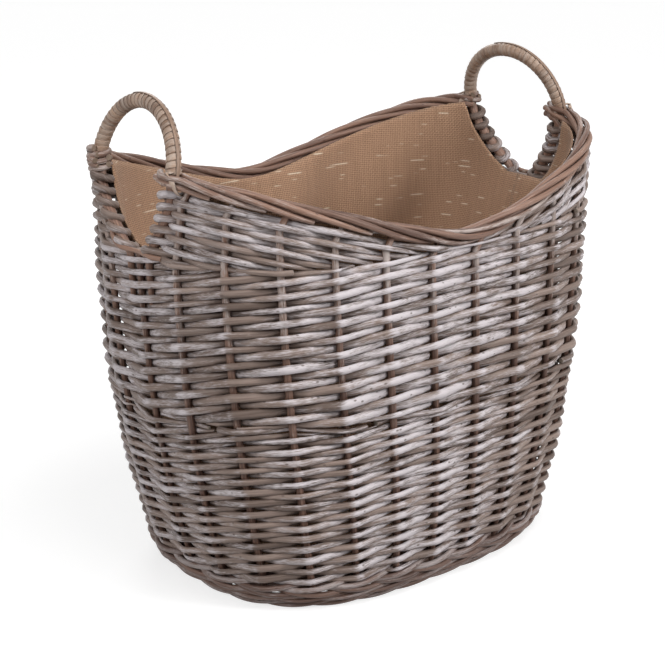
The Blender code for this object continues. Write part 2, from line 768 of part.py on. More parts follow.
def make_lining(material):
    floor = BASE_LEVEL + BASE_LIFT + BASE_WEAVER_RADIUS + CLEARANCE
    columns = lining_columns()
    mesh = bmesh.new()
    skins = []
    for lift in (0, LINING_THICKNESS):
        grid = []
        for number, share in enumerate(columns):
            at_end = past_leg(share, BORDER_HIGH) < STAKE_RADIUS
            top = lining_top(share if at_end else drifted(share, BORDER_LOW))
            inset = (END_REACH if at_end else SIDE_REACH) + CLEARANCE + lift
            column = []
            for level in range(LINING_LEVELS + 1):
                part = level / LINING_LEVELS
                height = floor + (top - floor) * part
                fold = LINING_FOLD * (1 + math.sin(number * FOLD_TURN)) * math.sin(math.pi * part)
                place = off_wall(share if at_end else drifted(share, height), height, -fold - inset)
                if level == 0:
                    place.z = floor + lift
                column.append(mesh.verts.new(place))
            grid.append(column)
        middle = mesh.verts.new((0, 0, floor + lift))
        for near, far in zip(grid, grid[1:] + grid[:1]):
            mesh.faces.new((middle, near[0], far[0]))
            for low in range(LINING_LEVELS):
                mesh.faces.new((near[low], near[low + 1], far[low + 1], far[low]))
        skins.append(grid)
    outer, inner = skins
    for i in range(len(columns)):
        j = (i + 1) % len(columns)
        mesh.faces.new((outer[i][-1], outer[j][-1], inner[j][-1], inner[i][-1]))
    add_mesh("hessian_lining", mesh, material)


def main():
    clear_scene()
    bark = finish("brown_bark_willow", BARK_BROWN, 0.7)
    washed = finish("washed_willow", WASHED_GREY, 0.75)
    wrap = finish("wrapped_skein", WRAP_BROWN, 0.55)
    hessian = finish("hessian", HESSIAN_TAN, 0.95)
    make_base(bark, washed)
    make_foot(bark)
    make_level_weave(washed)
    make_handles(bark, wrap)
    make_stakes(bark)
    make_corners(washed)
    make_lining(hessian)


main()
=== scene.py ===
import math

import bpy
import numpy as np
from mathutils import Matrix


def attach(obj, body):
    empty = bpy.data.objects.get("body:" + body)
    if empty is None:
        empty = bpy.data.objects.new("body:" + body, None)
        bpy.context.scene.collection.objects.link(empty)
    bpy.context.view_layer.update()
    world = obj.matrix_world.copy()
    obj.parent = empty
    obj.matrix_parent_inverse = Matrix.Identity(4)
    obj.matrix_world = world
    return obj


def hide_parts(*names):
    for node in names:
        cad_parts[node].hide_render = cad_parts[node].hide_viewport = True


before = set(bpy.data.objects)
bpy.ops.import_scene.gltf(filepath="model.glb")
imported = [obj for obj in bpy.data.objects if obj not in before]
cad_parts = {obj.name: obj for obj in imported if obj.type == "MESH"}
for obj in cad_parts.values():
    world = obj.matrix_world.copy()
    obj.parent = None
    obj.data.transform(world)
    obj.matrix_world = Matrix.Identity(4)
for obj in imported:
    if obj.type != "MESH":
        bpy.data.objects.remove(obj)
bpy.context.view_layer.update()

# Base sticks: five short willow sticks, split and threaded on three long ones, all with their
# brown bark on. They lie flat across the bottom, and the long ones fan out at the ends.
base_level = 0.01639
stick_pitch, spine = 0.0060, 0.0559
short_stick, long_stick, split_half = 0.0044, 0.0029, 0.0020
split_along, split_lift = (0.0, 0.011, 0.016), (0.0036, 0.0034, 0.0022, 0.0021, 0.0020)
edge_inset, edge_gap = 0.0186, 0.0046
foot_half, top_half, swelling = (0.215, 0.159), (0.280, 0.188), (2.6, 5.0)
wall_height, fullness, stakes_round = 0.470, 2.75, 26
chance = np.random.default_rng(26)


def half_sizes(height):
    """Half the basket's length and width at a height: it swells out from the base."""
    left = 1 - np.clip(height / wall_height, 0, 1)
    return [f + (t - f) * (1 - left**s) for f, t, s in zip(foot_half, top_half, swelling)]


def oval(length, width, turn):
    """The plan, an oval a little fuller than an ellipse."""
    c, s = np.cos(turn), np.sin(turn)
    reach = (np.abs(c) ** fullness + np.abs(s) ** fullness) ** (-1 / fullness)
    return length * c * reach, width * s * reach


def walk(line):
    """How far along a line each of its points is."""
    return np.concatenate([[0], np.cumsum(np.linalg.norm(np.diff(line, axis=0), axis=1))])


turns = np.linspace(0, 2 * np.pi, 1441)
ring_x, ring_y = oval(*half_sizes(wall_height / 2), turns)
walked = np.concatenate([[0], np.cumsum(np.hypot(np.diff(ring_x), np.diff(ring_y)))])
girth = walked[-1]


def unit(vectors):
    return vectors / np.maximum(np.linalg.norm(vectors, axis=-1, keepdims=True), 1e-12)


def wall(share, height, out=0.0):
    """Points on the middle of the wall, or this far outside it, and the way outward there.

    share is the part of the way round, anticlockwise from the right-hand end."""
    share, height, out = np.broadcast_arrays(*(np.asarray(v, float) for v in (share, height, out)))
    nearby = 1e-4

    def at(s, h):
        turn = np.interp((s - np.floor(s)) * girth, walked, turns)
        x, y = oval(*half_sizes(h), turn)
        return np.stack([x, y, h], -1)

    along = at(share + nearby, height) - at(share - nearby, height)
    up = at(share, height + nearby) - at(share, height - nearby)
    outward = unit(np.cross(along, up))
    return at(share, height) + outward * out[..., None], outward


def smooth(points, steps, closed=False):
    """A curve through the points, with this many steps from each to the next."""
    p = np.asarray(points, float)
    before, after = (p[-1:], p[:2]) if closed else (2 * p[:1] - p[1:2], 2 * p[-1:] - p[-2:-1])
    p = np.vstack([before, p, after])
    t = np.linspace(0, 1, steps, endpoint=False)[:, None]
    bits = []
    for a, b, c, d in zip(p, p[1:], p[2:], p[3:]):
        square, cube = 2 * a - 5 * b + 4 * c - d, 3 * b - a - 3 * c + d
        bits.append(0.5 * (2 * b + (c - a) * t + square * t**2 + cube * t**3))
    return np.vstack(bits if closed else bits + [p[-2:-1]])


class Bundle:
    """Willow rods gathered into one mesh. Each keeps its own grain, tone and share of wash.

    Each rod is painted paler on its outer side and darker on its inner side, a painted highlight and painted
    shade, and its cut ends are a little rounded."""

    painted_outer_light = 0.16
    rim_size, rim_step, rim_cut = 0.97, 0.10, 0.6
    end_size, end_step = 0.80, 0.24

    def __init__(self):
        self.points, self.faces, self.sharp, self.grain, self.look = [], [], [], [], []
        self.count = 0

    def ring(self, points, grain, look):
        """Adds one ring of points and says where it starts."""
        self.points.append(points)
        self.grain.append(grain)
        self.look.append(look)
        first = self.count
        self.count += len(points)
        return first

    def rod(self, line, out, wide, tall=None, tone=0.5, wash=0.5, sides=8, closed=False):
        """A rod along a line, cut off square unless it is closed.

        wide and tall are its half sizes outward and upward, at each point or all along."""
        line = np.asarray(line, float)
        n = len(line)
        ahead = unit(np.roll(line, -1, 0) - np.roll(line, 1, 0) if closed else np.gradient(line, axis=0))
        out = np.broadcast_to(out, line.shape)
        out = unit(out - (out * ahead).sum(-1, keepdims=True) * ahead)
        up = np.cross(out, ahead)
        tall = wide if tall is None else tall
        wide, tall, tone, wash = (np.broadcast_to(np.asarray(v, float), n) for v in (wide, tall, tone, wash))
        length = walk(line) + chance.uniform(0, 30)
        angle = 2 * np.pi * np.arange(sides) / sides
        c, s = np.cos(angle), np.sin(angle)

        def section(i, size, step, cut):
            off = out[i] * (wide[i] * size * c)[:, None] + up[i] * (tall[i] * size * s)[:, None]
            grain = np.stack([np.full(sides, length[i]), wide[i] * c, tall[i] * s], -1)
            look = np.ones((sides, 4))
            # Painted highlight and painted shade: more wash on the rod's outer side, less on its inner side.
            look[:, 0], look[:, 1], look[:, 2] = tone[i], wash[i] + self.painted_outer_light * c, cut
            return self.ring(line[i] + off + ahead[i] * step * wide[i], grain, look)

        rings = [section(i, 1.0, 0.0, 0.0) for i in range(n)]
        order = np.arange(sides)
        after = np.roll(order, -1)
        pairs = list(zip(rings, rings[1:]))
        if closed:
            pairs.append((rings[-1], rings[0]))
        else:
            for i, way in ((0, -1), (n - 1, 1)):
                rim = section(i, self.rim_size, way * self.rim_step, self.rim_cut)
                face = section(i, self.end_size, way * self.end_step, 1.0)
                pairs += [(rim, rings[i]), (face, rim)] if way < 0 else [(rings[i], rim), (rim, face)]
                cap = face + (order if way < 0 else order[::-1])
                self.faces.append(tuple(cap.tolist()))
                self.sharp.append(True)
        for near, far in pairs:
            quads = np.stack([near + order, far + order, far + after, near + after], -1)
            self.faces.extend(map(tuple, quads.tolist()))
            self.sharp.extend([False] * sides)

    def build(self, name, finish, replaces=()):
        mesh = bpy.data.meshes.new(name)
        mesh.from_pydata(np.concatenate(self.points).tolist(), [], self.faces)
        mesh.polygons.foreach_set("use_smooth", [not sharp for sharp in self.sharp])
        grain = mesh.attributes.new("grain", "FLOAT_VECTOR", "POINT")
        grain.data.foreach_set("vector", np.concatenate(self.grain).astype(np.float32).ravel())
        look = mesh.attributes.new("rod", "FLOAT_COLOR", "POINT")
        look.data.foreach_set("color", np.concatenate(self.look).astype(np.float32).ravel())
        mesh.materials.append(finish)
        mesh.update()
        made = bpy.data.objects.new(name, mesh)
        bpy.context.scene.collection.objects.link(made)
        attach(made, "root")
        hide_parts(*replaces)


class Recipe:
    """The nodes of one finish or of one shared effect, placed and linked by name."""

    def __init__(self, tree):
        self.tree, self.nodes, self.links = tree, tree.nodes, tree.links

    def add(self, kind, inputs=(), **settings):
        node = self.nodes.new(kind)
        for key, value in settings.items():
            setattr(node, key, value)
        for key, value in dict(inputs).items():
            if isinstance(value, bpy.types.NodeSocket):
                self.links.new(value, node.inputs[key])
            else:
                node.inputs[key].default_value = value
        return node

    def sum(self, how, a, b=0.0, c=0.0, clamp=False):
        return self.add("ShaderNodeMath", {0: a, 1: b, 2: c}, operation=how, use_clamp=clamp).outputs[0]

    def swing(self, noise, strength, onto, clamp=False):
        """Noise about its middle, at this strength, added onto another value."""
        return self.sum("MULTIPLY_ADD", self.sum("SUBTRACT", noise, 0.5), strength, onto, clamp)

    def ramp(self, value, low, high, how="LINEAR"):
        """From 0 at the low value to 1 at the high one."""
        return self.add("ShaderNodeMapRange", {0: value, 1: low, 2: high}, interpolation_type=how).outputs[0]

    def blend(self, share, a, b):
        a, b = ((*colour, 1) if isinstance(colour, tuple) else colour for colour in (a, b))
        return self.add("ShaderNodeMix", {0: share, 6: a, 7: b}, data_type="RGBA").outputs[2]

    def attribute(self, name, kind):
        return self.add("ShaderNodeAttribute", attribute_name=name).outputs[kind]

    def direct(self):
        """1 for what is seen straight, in a shiny piece or through a clear one, and 0 for light cast."""
        seen = self.add("ShaderNodeLightPath").outputs
        straight = self.sum("MAXIMUM", seen["Is Camera Ray"], seen["Is Glossy Ray"])
        return self.sum("MAXIMUM", straight, seen["Is Transmission Ray"])

    def bump(self, shader, height, strength, distance):
        node = self.add("ShaderNodeBump", {"Height": height, "Strength": strength, "Distance": distance})
        self.links.new(node.outputs[0], shader.inputs["Normal"])

    def noise(self, vector, scale, detail=2.0, rough=0.5, shift=0.0):
        """Noise in the grain's own space, drawn out along the rod or thread."""
        placed = self.add("ShaderNodeMapping", {"Vector": vector, "Scale": scale, "Location": (shift,) * 3})
        inputs = {"Vector": placed.outputs[0], "Scale": 1.0, "Detail": detail, "Roughness": rough}
        return self.add("ShaderNodeTexNoise", inputs).outputs["Fac"]


def new_finish(name):
    """A material, the recipe for its nodes, and its shader."""
    made = bpy.data.materials.new(name)
    made.use_nodes = True
    recipe = Recipe(made.node_tree)
    return made, recipe, recipe.nodes["Principled BSDF"]


def effect(name, takes, gives):
    """A shared effect: a shader group with these sockets, and the recipe to fill it."""
    group = bpy.data.node_groups.new(name, "ShaderNodeTree")
    for label, kind, value in takes:
        made = group.interface.new_socket(name=label, in_out="INPUT", socket_type=kind)
        made.default_value = value
    for label, kind in gives:
        group.interface.new_socket(name=label, in_out="OUTPUT", socket_type=kind)
    recipe = Recipe(group)
    return group, recipe, recipe.add("NodeGroupInput").outputs, recipe.add("NodeGroupOutput").inputs


def willow_effect():
    """Willow bark: long fine wrinkles, blotches, buds, and a pale wash, brushed on and wiped off. The rods'
    wash share also carries painted highlights and painted shade.
    """
    colour, value = "NodeSocketColor", "NodeSocketFloat"
    takes = [
        ("Dark bark", colour, (0.05, 0.03, 0.02, 1)),
        ("Light bark", colour, (0.2, 0.12, 0.08, 1)),
        ("Wash", colour, (0.5, 0.46, 0.45, 1)),
        ("Wood", colour, (0.45, 0.35, 0.25, 1)),
        ("Washed", value, 0.5),
    ]
    gives = [("Colour", colour), ("Roughness", value), ("Height", value)]
    group, r, given, given_out = effect("willow bark", takes, gives)
    dark = given["Dark bark"]
    grain = r.attribute("grain", "Vector")
    look = r.add("ShaderNodeSeparateColor", {"Color": r.attribute("rod", "Color")}).outputs
    tone, wash, cut = look[0], look[1], look[2]
    streak = r.noise(grain, (22, 620, 620), 3, 0.6)
    blotch = r.noise(grain, (24, 110, 110), 3, 0.6, 3.0)
    fibre = r.noise(grain, (160, 1900, 1900), 2, 0.5, 7.0)
    bark = r.blend(r.swing(streak, 1.6, tone, clamp=True), dark, given["Light bark"])
    wash_and_light = r.swing(streak, 0.8, r.swing(fibre, 1.1, r.swing(blotch, 1.5, wash)))
    wash_and_light = r.sum("ADD", wash_and_light, r.sum("SUBTRACT", given["Washed"], 0.5))
    mask = r.ramp(wash_and_light, 0.22, 0.85, "SMOOTHSTEP")
    washed = r.blend(mask, bark, given["Wash"])
    spots = r.add("ShaderNodeMapping", {"Vector": grain, "Scale": (70, 120, 120)}).outputs[0]
    spots = r.add("ShaderNodeTexVoronoi", {"Vector": spots, "Scale": 1.0}).outputs["Distance"]
    bud = r.ramp(spots, 0.16, 0.08)
    marked = r.blend(r.sum("MULTIPLY", bud, 0.75), washed, dark)
    cut_wood = r.blend(r.sum("MULTIPLY", fibre, 0.35), given["Wood"], dark)
    r.links.new(r.blend(cut, marked, cut_wood), given_out["Colour"])
    rough = r.sum("MULTIPLY_ADD", mask, 0.20, r.sum("MULTIPLY_ADD", streak, 0.15, 0.42))
    r.links.new(rough, given_out["Roughness"])
    height = r.sum("MULTIPLY_ADD", streak, 0.7, r.sum("MULTIPLY", fibre, 0.5))
    r.links.new(r.sum("MULTIPLY_ADD", bud, -0.6, height), given_out["Height"])
    return group


willow = willow_effect()


def willow_finish(name, dark, light, wash, wood, washed):
    """A finish of willow bark, from its own colours and how much wash it holds."""
    made, r, shader = new_finish(name)
    bark = r.add("ShaderNodeGroup", node_tree=willow)
    for label, colour in (("Dark bark", dark), ("Light bark", light), ("Wash", wash), ("Wood", wood)):
        bark.inputs[label].default_value = (*colour, 1)
    bark.inputs["Washed"].default_value = washed
    r.links.new(bark.outputs["Colour"], shader.inputs["Base Color"])
    r.links.new(bark.outputs["Roughness"], shader.inputs["Roughness"])
    r.bump(shader, bark.outputs["Height"], 0.7, 0.0005)
    shader.inputs["Specular IOR Level"].default_value = 0.35
    return made


base_brown = willow_finish(
    "base_brown",
    dark=(0.085, 0.055, 0.042),
    light=(0.21, 0.135, 0.095),
    wash=(0.36, 0.32, 0.30),
    wood=(0.42, 0.33, 0.24),
    washed=0.25,
)


def foot_round():
    """The line where the base meets the toes of the stakes, one corner at each stake."""
    place, out = wall(np.arange(stakes_round) / stakes_round, base_level)
    level = unit(out * (1, 1, 0))
    return place - level * edge_inset


def stick_reach(anchor, way):
    """How far a stick runs from the spine before it meets the round at the edge."""
    edge = foot_round()
    along = unit(np.roll(edge, -1, 0) - edge)
    outward = np.stack([along[:, 1], -along[:, 0]], -1)
    facing = outward @ way
    reach = ((edge[:, :2] - anchor) * outward).sum(-1) - edge_gap - short_stick * np.abs(along[:, :2] @ way)
    met = facing > 1e-6
    return np.min(np.where(met, reach / np.where(met, facing, 1), 1.0))


sticks = Bundle()
cross_places = spine * (1 - 2 * np.arange(5) / 4)
for x in cross_places:
    reach = stick_reach(np.array([x, 0.0]), np.array([0.0, 1.0]))
    tone, wash = chance.uniform(0.2, 0.8), chance.uniform(0.1, 0.5)
    for side in (-1, 1):
        for half in (-1, 1):
            y = np.array([*split_along, 0.5 * reach, reach]) * half
            line = np.stack([np.full(len(y), x), y, base_level + np.array(split_lift) * side], -1)
            sticks.rod(smooth(line, 4), (1, 0, 0), short_stick, split_half, tone, wash)
for lane in (-1, 0, 1):
    y = lane * stick_pitch
    way = unit(np.array([1.0, lane]))
    far = np.array([spine, 0.0]) + way * stick_reach(np.array([spine, 0.0]), way)
    half = [(0, y), (spine + abs(y), y), tuple(far)]
    line = [(-px, py, base_level) for px, py in half[:0:-1]] + [(px, py, base_level) for px, py in half]
    sticks.rod(smooth(line, 8), (0, 0, 1), long_stick, None, chance.uniform(0.2, 0.8), 0.3)
cross_nodes = [f"base_cross_stick_{i}" for i in range(1, 6)]
long_nodes = [f"base_long_stick_{n}" for n in ("back", "front", "middle")]
sticks.build("base_sticks", base_brown, cross_nodes + long_nodes)

# Weave of the base: thin washed rods that go over and under the sticks, round after round, from
# the middle of the base out to its edge. They are packed tight and start on the spread sticks.
first_round, base_rod, packed_tight = 0.030, 0.0030, 0.97
weave_to_edge, over_stick = 0.0035, 0.75
slope = math.sqrt(0.5)
fan = [np.array([slope, -slope]), np.array([1.0, 0.0]), np.array([slope, slope])]
spokes = [(np.array([spine, 0.0]), way) for way in fan]
spokes += [(np.array([x, 0.0]), np.array([0.0, 1.0])) for x in cross_places]
spokes += [(np.array([-spine, 0.0]), -way) for way in fan]
spokes += [(np.array([x, 0.0]), np.array([0.0, -1.0])) for x in cross_places[::-1]]
reaches = np.array([stick_reach(anchor, way) - weave_to_edge for anchor, way in spokes])
base_rounds = int((reaches.min() - first_round) / (2 * base_rod * packed_tight))
washed_base = willow_finish(
    "base_washed",
    dark=(0.10, 0.075, 0.06),
    light=(0.25, 0.19, 0.15),
    wash=(0.47, 0.43, 0.41),
    wood=(0.42, 0.33, 0.24),
    washed=0.5,
)
base_weave = Bundle()
for row in range(base_rounds):
    part = (row + 0.5) / base_rounds
    line = []
    for step, (anchor, way) in enumerate(spokes):
        plan = anchor + way * (first_round + (reaches[step] - first_round) * part)
        side = 1 if (step + row) % 2 else -1
        line.append((*plan, base_level + side * (short_stick * over_stick + base_rod)))
    line = smooth(line, 5, closed=True)
    tone, wash = chance.uniform(), chance.uniform(0.2, 0.8)
    base_weave.rod(line, (0, 0, 1), base_rod, None, tone, wash, 7, closed=True)
base_weave.build("base_weave", washed_base, ["base_weaver_a", "base_weaver_b"])

# Edge of the base: two fine washed rods twisted together round the ends of the sticks, which bind
# the base weave where the toes of the stakes go in.
edge_rod = 0.0021


def twisted(bundle, centre, out, rods, roll, thick, pitch_bays, steps, tones):
    """Rods laid round one another along a closed line, like a rope."""
    ahead = unit(np.roll(centre, -1, 0) - np.roll(centre, 1, 0))
    up = np.cross(out, ahead)
    bays = np.arange(len(centre)) / steps
    for strand in range(rods):
        swing = 2 * np.pi * (bays / pitch_bays + strand / rods)
        line = centre + out * (roll * np.cos(swing))[:, None] + up * (roll * np.sin(swing))[:, None]
        bundle.rod(line, out, thick, None, tones[strand], chance.uniform(0.1, 0.6), 8, closed=True)


edge = Bundle()
line = smooth(foot_round(), 4, closed=True)
twisted(edge, line, unit(line * (1, 1, 0)), 2, edge_rod, edge_rod, 2, 4, (0.4, 0.7))
edge.build("base_edge", washed_base, ["base_edge_rod"])

# Foot: a brown hoop of three rods twisted like a rope, which the basket stands on, and a finer pair
# twisted together over it, where the stakes turn up.
hoop_middle, hoop_out, hoop_roll, hoop_rod = 0.0066, 0.0005, 0.0033, 0.0031
pair_level, pair_out, pair_roll, pair_rod = 0.0152, 0.0046, 0.0021, 0.0025
foot_brown = willow_finish(
    "foot_brown",
    dark=(0.066, 0.036, 0.028),
    light=(0.205, 0.124, 0.094),
    wash=(0.36, 0.31, 0.30),
    wood=(0.42, 0.33, 0.24),
    washed=0.28,
)
foot = Bundle()
steps = 10
shares = np.arange(stakes_round * steps) / (stakes_round * steps)
centre, out = wall(shares, np.zeros_like(shares))
level = unit(out * (1, 1, 0))
centre = centre + level * hoop_out + (0, 0, hoop_middle)
twisted(foot, centre, level, 3, hoop_roll, hoop_rod, 3, steps, (0.3, 0.7, 0.5))
centre, out = wall(shares, np.full(len(shares), pair_level), pair_out)
twisted(foot, centre, unit(out * (1, 1, 0)), 2, pair_roll, pair_rod, 2, steps, (0.4, 0.6))
foot.build("foot_hoop_twist", foot_brown, ["foot_hoop"])

# Wale: two rounds of three brown rods, which pass over one another in turn between the stakes, the
# upper round with the opposite twist. They grip the upturned stakes, and two plain rods are packed
# in behind them.
wale_level, wale_rod, wale_pitch, wale_twist = 0.0230, 0.0031, 0.0068, 0.0022
wale_front, wale_behind = 0.0082, 0.0066
packed_behind = ((0.0034, -0.0010, 0.0030, 0.0062), (0.0125, -0.0064, 0.0026, 0.0050))
wale = Bundle()
for row in range(2):
    for strand in range(3):
        bays = np.arange(stakes_round * 8) / 8
        swing = 2 * np.pi * (bays + strand) / 3
        reach = np.where(np.cos(swing) > 0, wale_front, wale_behind) * np.cos(swing)
        height = wale_level + wale_pitch * row + wale_twist * np.sin(swing) * (1 if row else -1)
        line, out = wall(bays / stakes_round, height, reach)
        tone, wash = 0.3 + 0.2 * strand, chance.uniform(0.1, 0.5) + 0.4 * row
        wale.rod(line, out, wale_rod, None, tone, wash, 8, closed=True)
for above, reach, thin, tall in packed_behind:
    line, out = wall(shares, np.full(len(shares), wale_level + above), reach)
    wale.rod(line, out, thin, tall, 0.2, 0.1, 8, closed=True)
wale.build("foot_wale", foot_brown, ["foot_wale_a", "foot_wale_b"])

# Stakes and border: twenty-four brown willow stakes pushed into the base, kinked up at the foot and
# woven round. At the top each is laid down and rolled with its neighbours into the rope-like border,
# which stops at the notch of each handle. A short stake stands in the middle of each end.
notch_floor, border_low, border_high, dip_rounding = 0.38494, 0.394, 0.470, 0.172
side_drift, leg_foot, leg_top, set_back, leg_to_stake = 0.019, 0.0165, 0.071, 0.014, 0.0125
leg_room, leg_stretch = 0.0098, 0.012
stake_rod, stake_swell, roll, strands, side_stakes = 0.0034, 1.12, 0.0063, 5, 12
toe_length, toe_bend, toe_lift, kink_height = 0.014, 0.006, 0.003, 0.010
below_roll, end_stake_top = 0.014, 0.004
past_leg, core_rod = 0.62, 0.0031
stake_brown = willow_finish(
    "stake_brown",
    dark=(0.090, 0.048, 0.036),
    light=(0.37, 0.220, 0.158),
    wash=(0.50, 0.43, 0.40),
    wood=(0.20, 0.145, 0.105),
    washed=0.24,
)


def border_height(share):
    """The border dips in the middle of the long sides and sweeps up to the handles."""
    turn = np.interp((share - np.floor(share)) * girth, walked, turns)
    along = np.abs(oval(*top_half, turn)[0]) / top_half[0]
    rise = np.hypot(along, dip_rounding) - dip_rounding
    return border_low + (border_high - border_low) * rise / (np.hypot(1, dip_rounding) - dip_rounding)


def drifted(share, height):
    """The long sides drift clockwise as they are woven."""
    grown = np.clip(height, 0, notch_floor) / notch_floor
    return share - side_drift / girth * grown * np.sin(2 * np.pi * share) ** 2


def up_the_notch(height):
    """From 0 at the bottom of the notch to 1 at the border beside it."""
    return np.clip((height - notch_floor) / (border_high - notch_floor), 0, 1)


def leg_place(end, side, height):
    """A handle's leg along the wall from the middle of its end. The legs spread as they rise."""
    back = 1 if end == 0 else -1
    top = side * leg_top + back * set_back
    return side * leg_foot + (top - side * leg_foot) * np.sin(up_the_notch(height) * np.pi / 2)


def post_share(post, height):
    """Where a stake stands: the first two beside each handle lean away from it above the notch."""
    share = drifted(post / stakes_round, height)
    half = stakes_round // 2
    beside = min(post % half, -post % half)
    if beside not in (1, 2):
        return share
    side = 1 if post % half == beside else -1
    first = post + side * (1 - beside)
    end = round(2 * first / stakes_round)
    stands = end / 2 + (leg_place(end % 2, side, border_high) + side * leg_to_stake) / girth
    lean = stands - drifted(first / stakes_round, border_high)
    return share + lean * np.sin(up_the_notch(height) * np.pi / 2) * (1 if beside == 1 else 0.4)


def border_share(first, along):
    """The way round at a place in a side's border, counted in stakes from its first one."""
    posts = [post_share(first + number, border_high) for number in range(side_stakes)]
    posts = [2 * posts[0] - posts[1]] + posts + [2 * posts[-1] - posts[-2]]
    return np.interp(along, np.arange(-1, side_stakes + 1), posts)


def border_line(first, along, swing, reach):
    """Points round the border's centre line, swing turning from outward up over the top.

    Beside a handle's leg the rods part, so that it goes down between them."""
    share = border_share(first, along)
    height = border_height(share)
    centre, out = wall(share, height)
    out = unit(out * (1, 1, 0))
    ahead_share = border_share(first, along + 0.02)
    ahead = unit(wall(ahead_share, border_height(ahead_share))[0] - centre)
    up = np.cross(out, ahead)
    across = np.cos(swing) * reach
    end = np.round(share * 2)
    offset = (share - end / 2) * girth
    legs = np.where(offset > 0, leg_top, -leg_top) + set_back * np.where(end % 2 == 0, 1, -1)
    push = np.clip(1.4 - np.abs(offset - legs) / leg_stretch, 0, 1)
    across = across + push * np.sign(across + 1e-6) * np.maximum(leg_room - np.abs(across), 0)
    return centre + out * across[:, None] + up * (np.sin(swing) * reach)[:, None], out


def rolled(first, rolled_from, begin, end, thick):
    """One rod's run in the border: under it, up its inside, over the top and down its outside."""
    along = np.arange(begin, end, 1 / 8)
    along = np.append(along, end)
    swing = -np.pi / 2 - 2 * np.pi / strands * (along - rolled_from)
    reach = roll * (1 + 0.10 * np.sin(along * 2.1 + rolled_from * 1.7))
    line, out = border_line(first, along, swing, reach)
    gone = (along - rolled_from) / strands
    radius = thick * np.interp(gone, [0, 0.75, 1.0, 1.15], [1.0, 0.92, 0.62, 0.45])
    return line, out, radius


stakes = Bundle()
for first in (1, side_stakes + 2):
    last = side_stakes - 1 + past_leg
    for number in range(side_stakes):
        post = first + number
        thick = stake_rod * chance.uniform(0.92, 1.08)
        tip = strands * chance.uniform(0.98, 1.12)
        run, run_out, run_radius = rolled(first, number, number + 0.16, min(number + tip, last), thick)
        toe, toe_out = wall(post / stakes_round, base_level)
        level = unit(toe_out * (1, 1, 0))
        heights = np.linspace(base_level + kink_height, run[0][2] - below_roll, 26)
        rise, rise_out = wall(post_share(post, heights), heights)
        low_end = [toe - level * toe_length, toe - level * toe_bend, toe + (0, 0, toe_lift)]
        line = np.vstack([*low_end, rise, run])
        out = np.vstack([level, level, level, rise_out, run_out])
        rise_radius = np.full(len(rise), thick * stake_swell)
        radius = np.concatenate([[thick * 0.8, thick, thick], rise_radius, run_radius])
        bare, rim = chance.uniform(0.0, 0.28), chance.uniform(0.10, 0.65)
        risen = line[: -len(run), 2]
        paler = np.interp(risen, [0.24, 0.36], [0.0, 0.38])
        tone = np.append(bare + paler, np.linspace((bare + rim) / 2 + 0.1, rim, len(run)))
        brushed = np.interp(risen, [0.24, 0.38], [0.10, 0.75])
        wash = np.append(brushed, np.full(len(run), chance.uniform(0.1, 0.55)))
        stakes.rod(line, out, radius, None, tone, wash, 9)
    along = np.arange(-past_leg, last, 1 / 6)
    line, out = border_line(first, along, np.zeros_like(along), 0.0)
    stakes.rod(line, out, core_rod, None, 0.3, 0.2, 8)
    for missing in range(1, strands):
        thick = stake_rod * chance.uniform(0.92, 1.06)
        until = strands - missing - chance.uniform(0.0, 0.4)
        line, out, radius = rolled(first, -missing, -past_leg, until, thick)
        stakes.rod(line, out, radius, None, chance.uniform(0.2, 0.65), chance.uniform(0.15, 0.6), 9)
for post in (0, side_stakes + 1):
    heights = np.linspace(base_level + kink_height, notch_floor + end_stake_top, 16)
    line, out = wall(post / stakes_round, heights)
    stakes.rod(line, out, stake_rod, None, 0.2, 0.3, 9)
stakes.build(
    "stakes_and_border",
    stake_brown,
    [f"side_stake_{i:02d}" for i in range(1, 25)]
    + ["end_stake_left", "end_stake_right"]
    + [f"border_starter_{side}_{i}" for side in ("back", "front") for i in (1, 2, 3)],
)

# Weave of the wall: long washed rods, thick at the butt and thin at the tip, that pass in front of one
# stake and behind the next. Each row takes the other side, so the wall locks. The lower half is of
# finer rods than the upper, and the rods are changed in an uneven row between the two.
lower_low, band_break, change = 0.0315, 0.2105, 0.0065
lower_rows, upper_rows = 35, 28
lower_rods, upper_rods = (0.0074, 0.0063), (0.0102, 0.0062)
change_rod, last_rod = (0.0036, 0.0024), (0.0027, 0.0030)
flat, tuck, behind, leg_gap, gap_from = 0.80, 0.40, 2.2, 0.30, 0.335
waver, tucked_end, millimetre = 0.0004, 0.0020, 0.001
climb_bays = (0, 1, 4, 7, 9, 11, 12, 13, 14, 15, 16, 17, 18, 20, 22, 24, 25, 26)
climb_heights = (0, 0, -8, -18, -27, -33, -31, -24, -13, -2, 3, 8, 13, 15, 13, 6, 0, 0)
change_bays, change_heights = (0, 11, 13, 14, 15, 16, 17, 26), (0, 0, -8, -2, 3, 3, -1, 0)
# Per place round the wall, how much more wash one half of each stroke gets than the other: painted light and
# painted shade on the halves that face towards and away from the light.
lit_side_bays, lit_side_shift = (0, 14, 15, 15.9, 16.1, 18, 21, 26), (0.08, 0.0, -0.20, -0.22, 0.20, 0.16, 0.08, 0.08)
# The wash is shifted up and down by place round the wall: partly the wash's own unevenness, and partly
# painted shade where the front turns away towards the right-hand end.
wash_and_shade_bays = (0, 13, 14.2, 15.4, 16.2, 18, 20, 22, 24, 26)
wash_and_shade_shift = (-0.1, 0, -0.07, -0.30, -0.06, 0.19, 0.10, -0.22, -0.42, -0.1)
washed_weave = willow_finish(
    "washed_weave",
    dark=(0.100, 0.068, 0.054),
    light=(0.288, 0.215, 0.182),
    wash=(0.61, 0.560, 0.575),
    wood=(0.38, 0.32, 0.27),
    washed=0.40,
)


def climb(bays):
    """The rows aren't level: they lie low at the left end and climb along the front."""
    return millimetre * np.interp(bays % stakes_round, climb_bays, climb_heights)


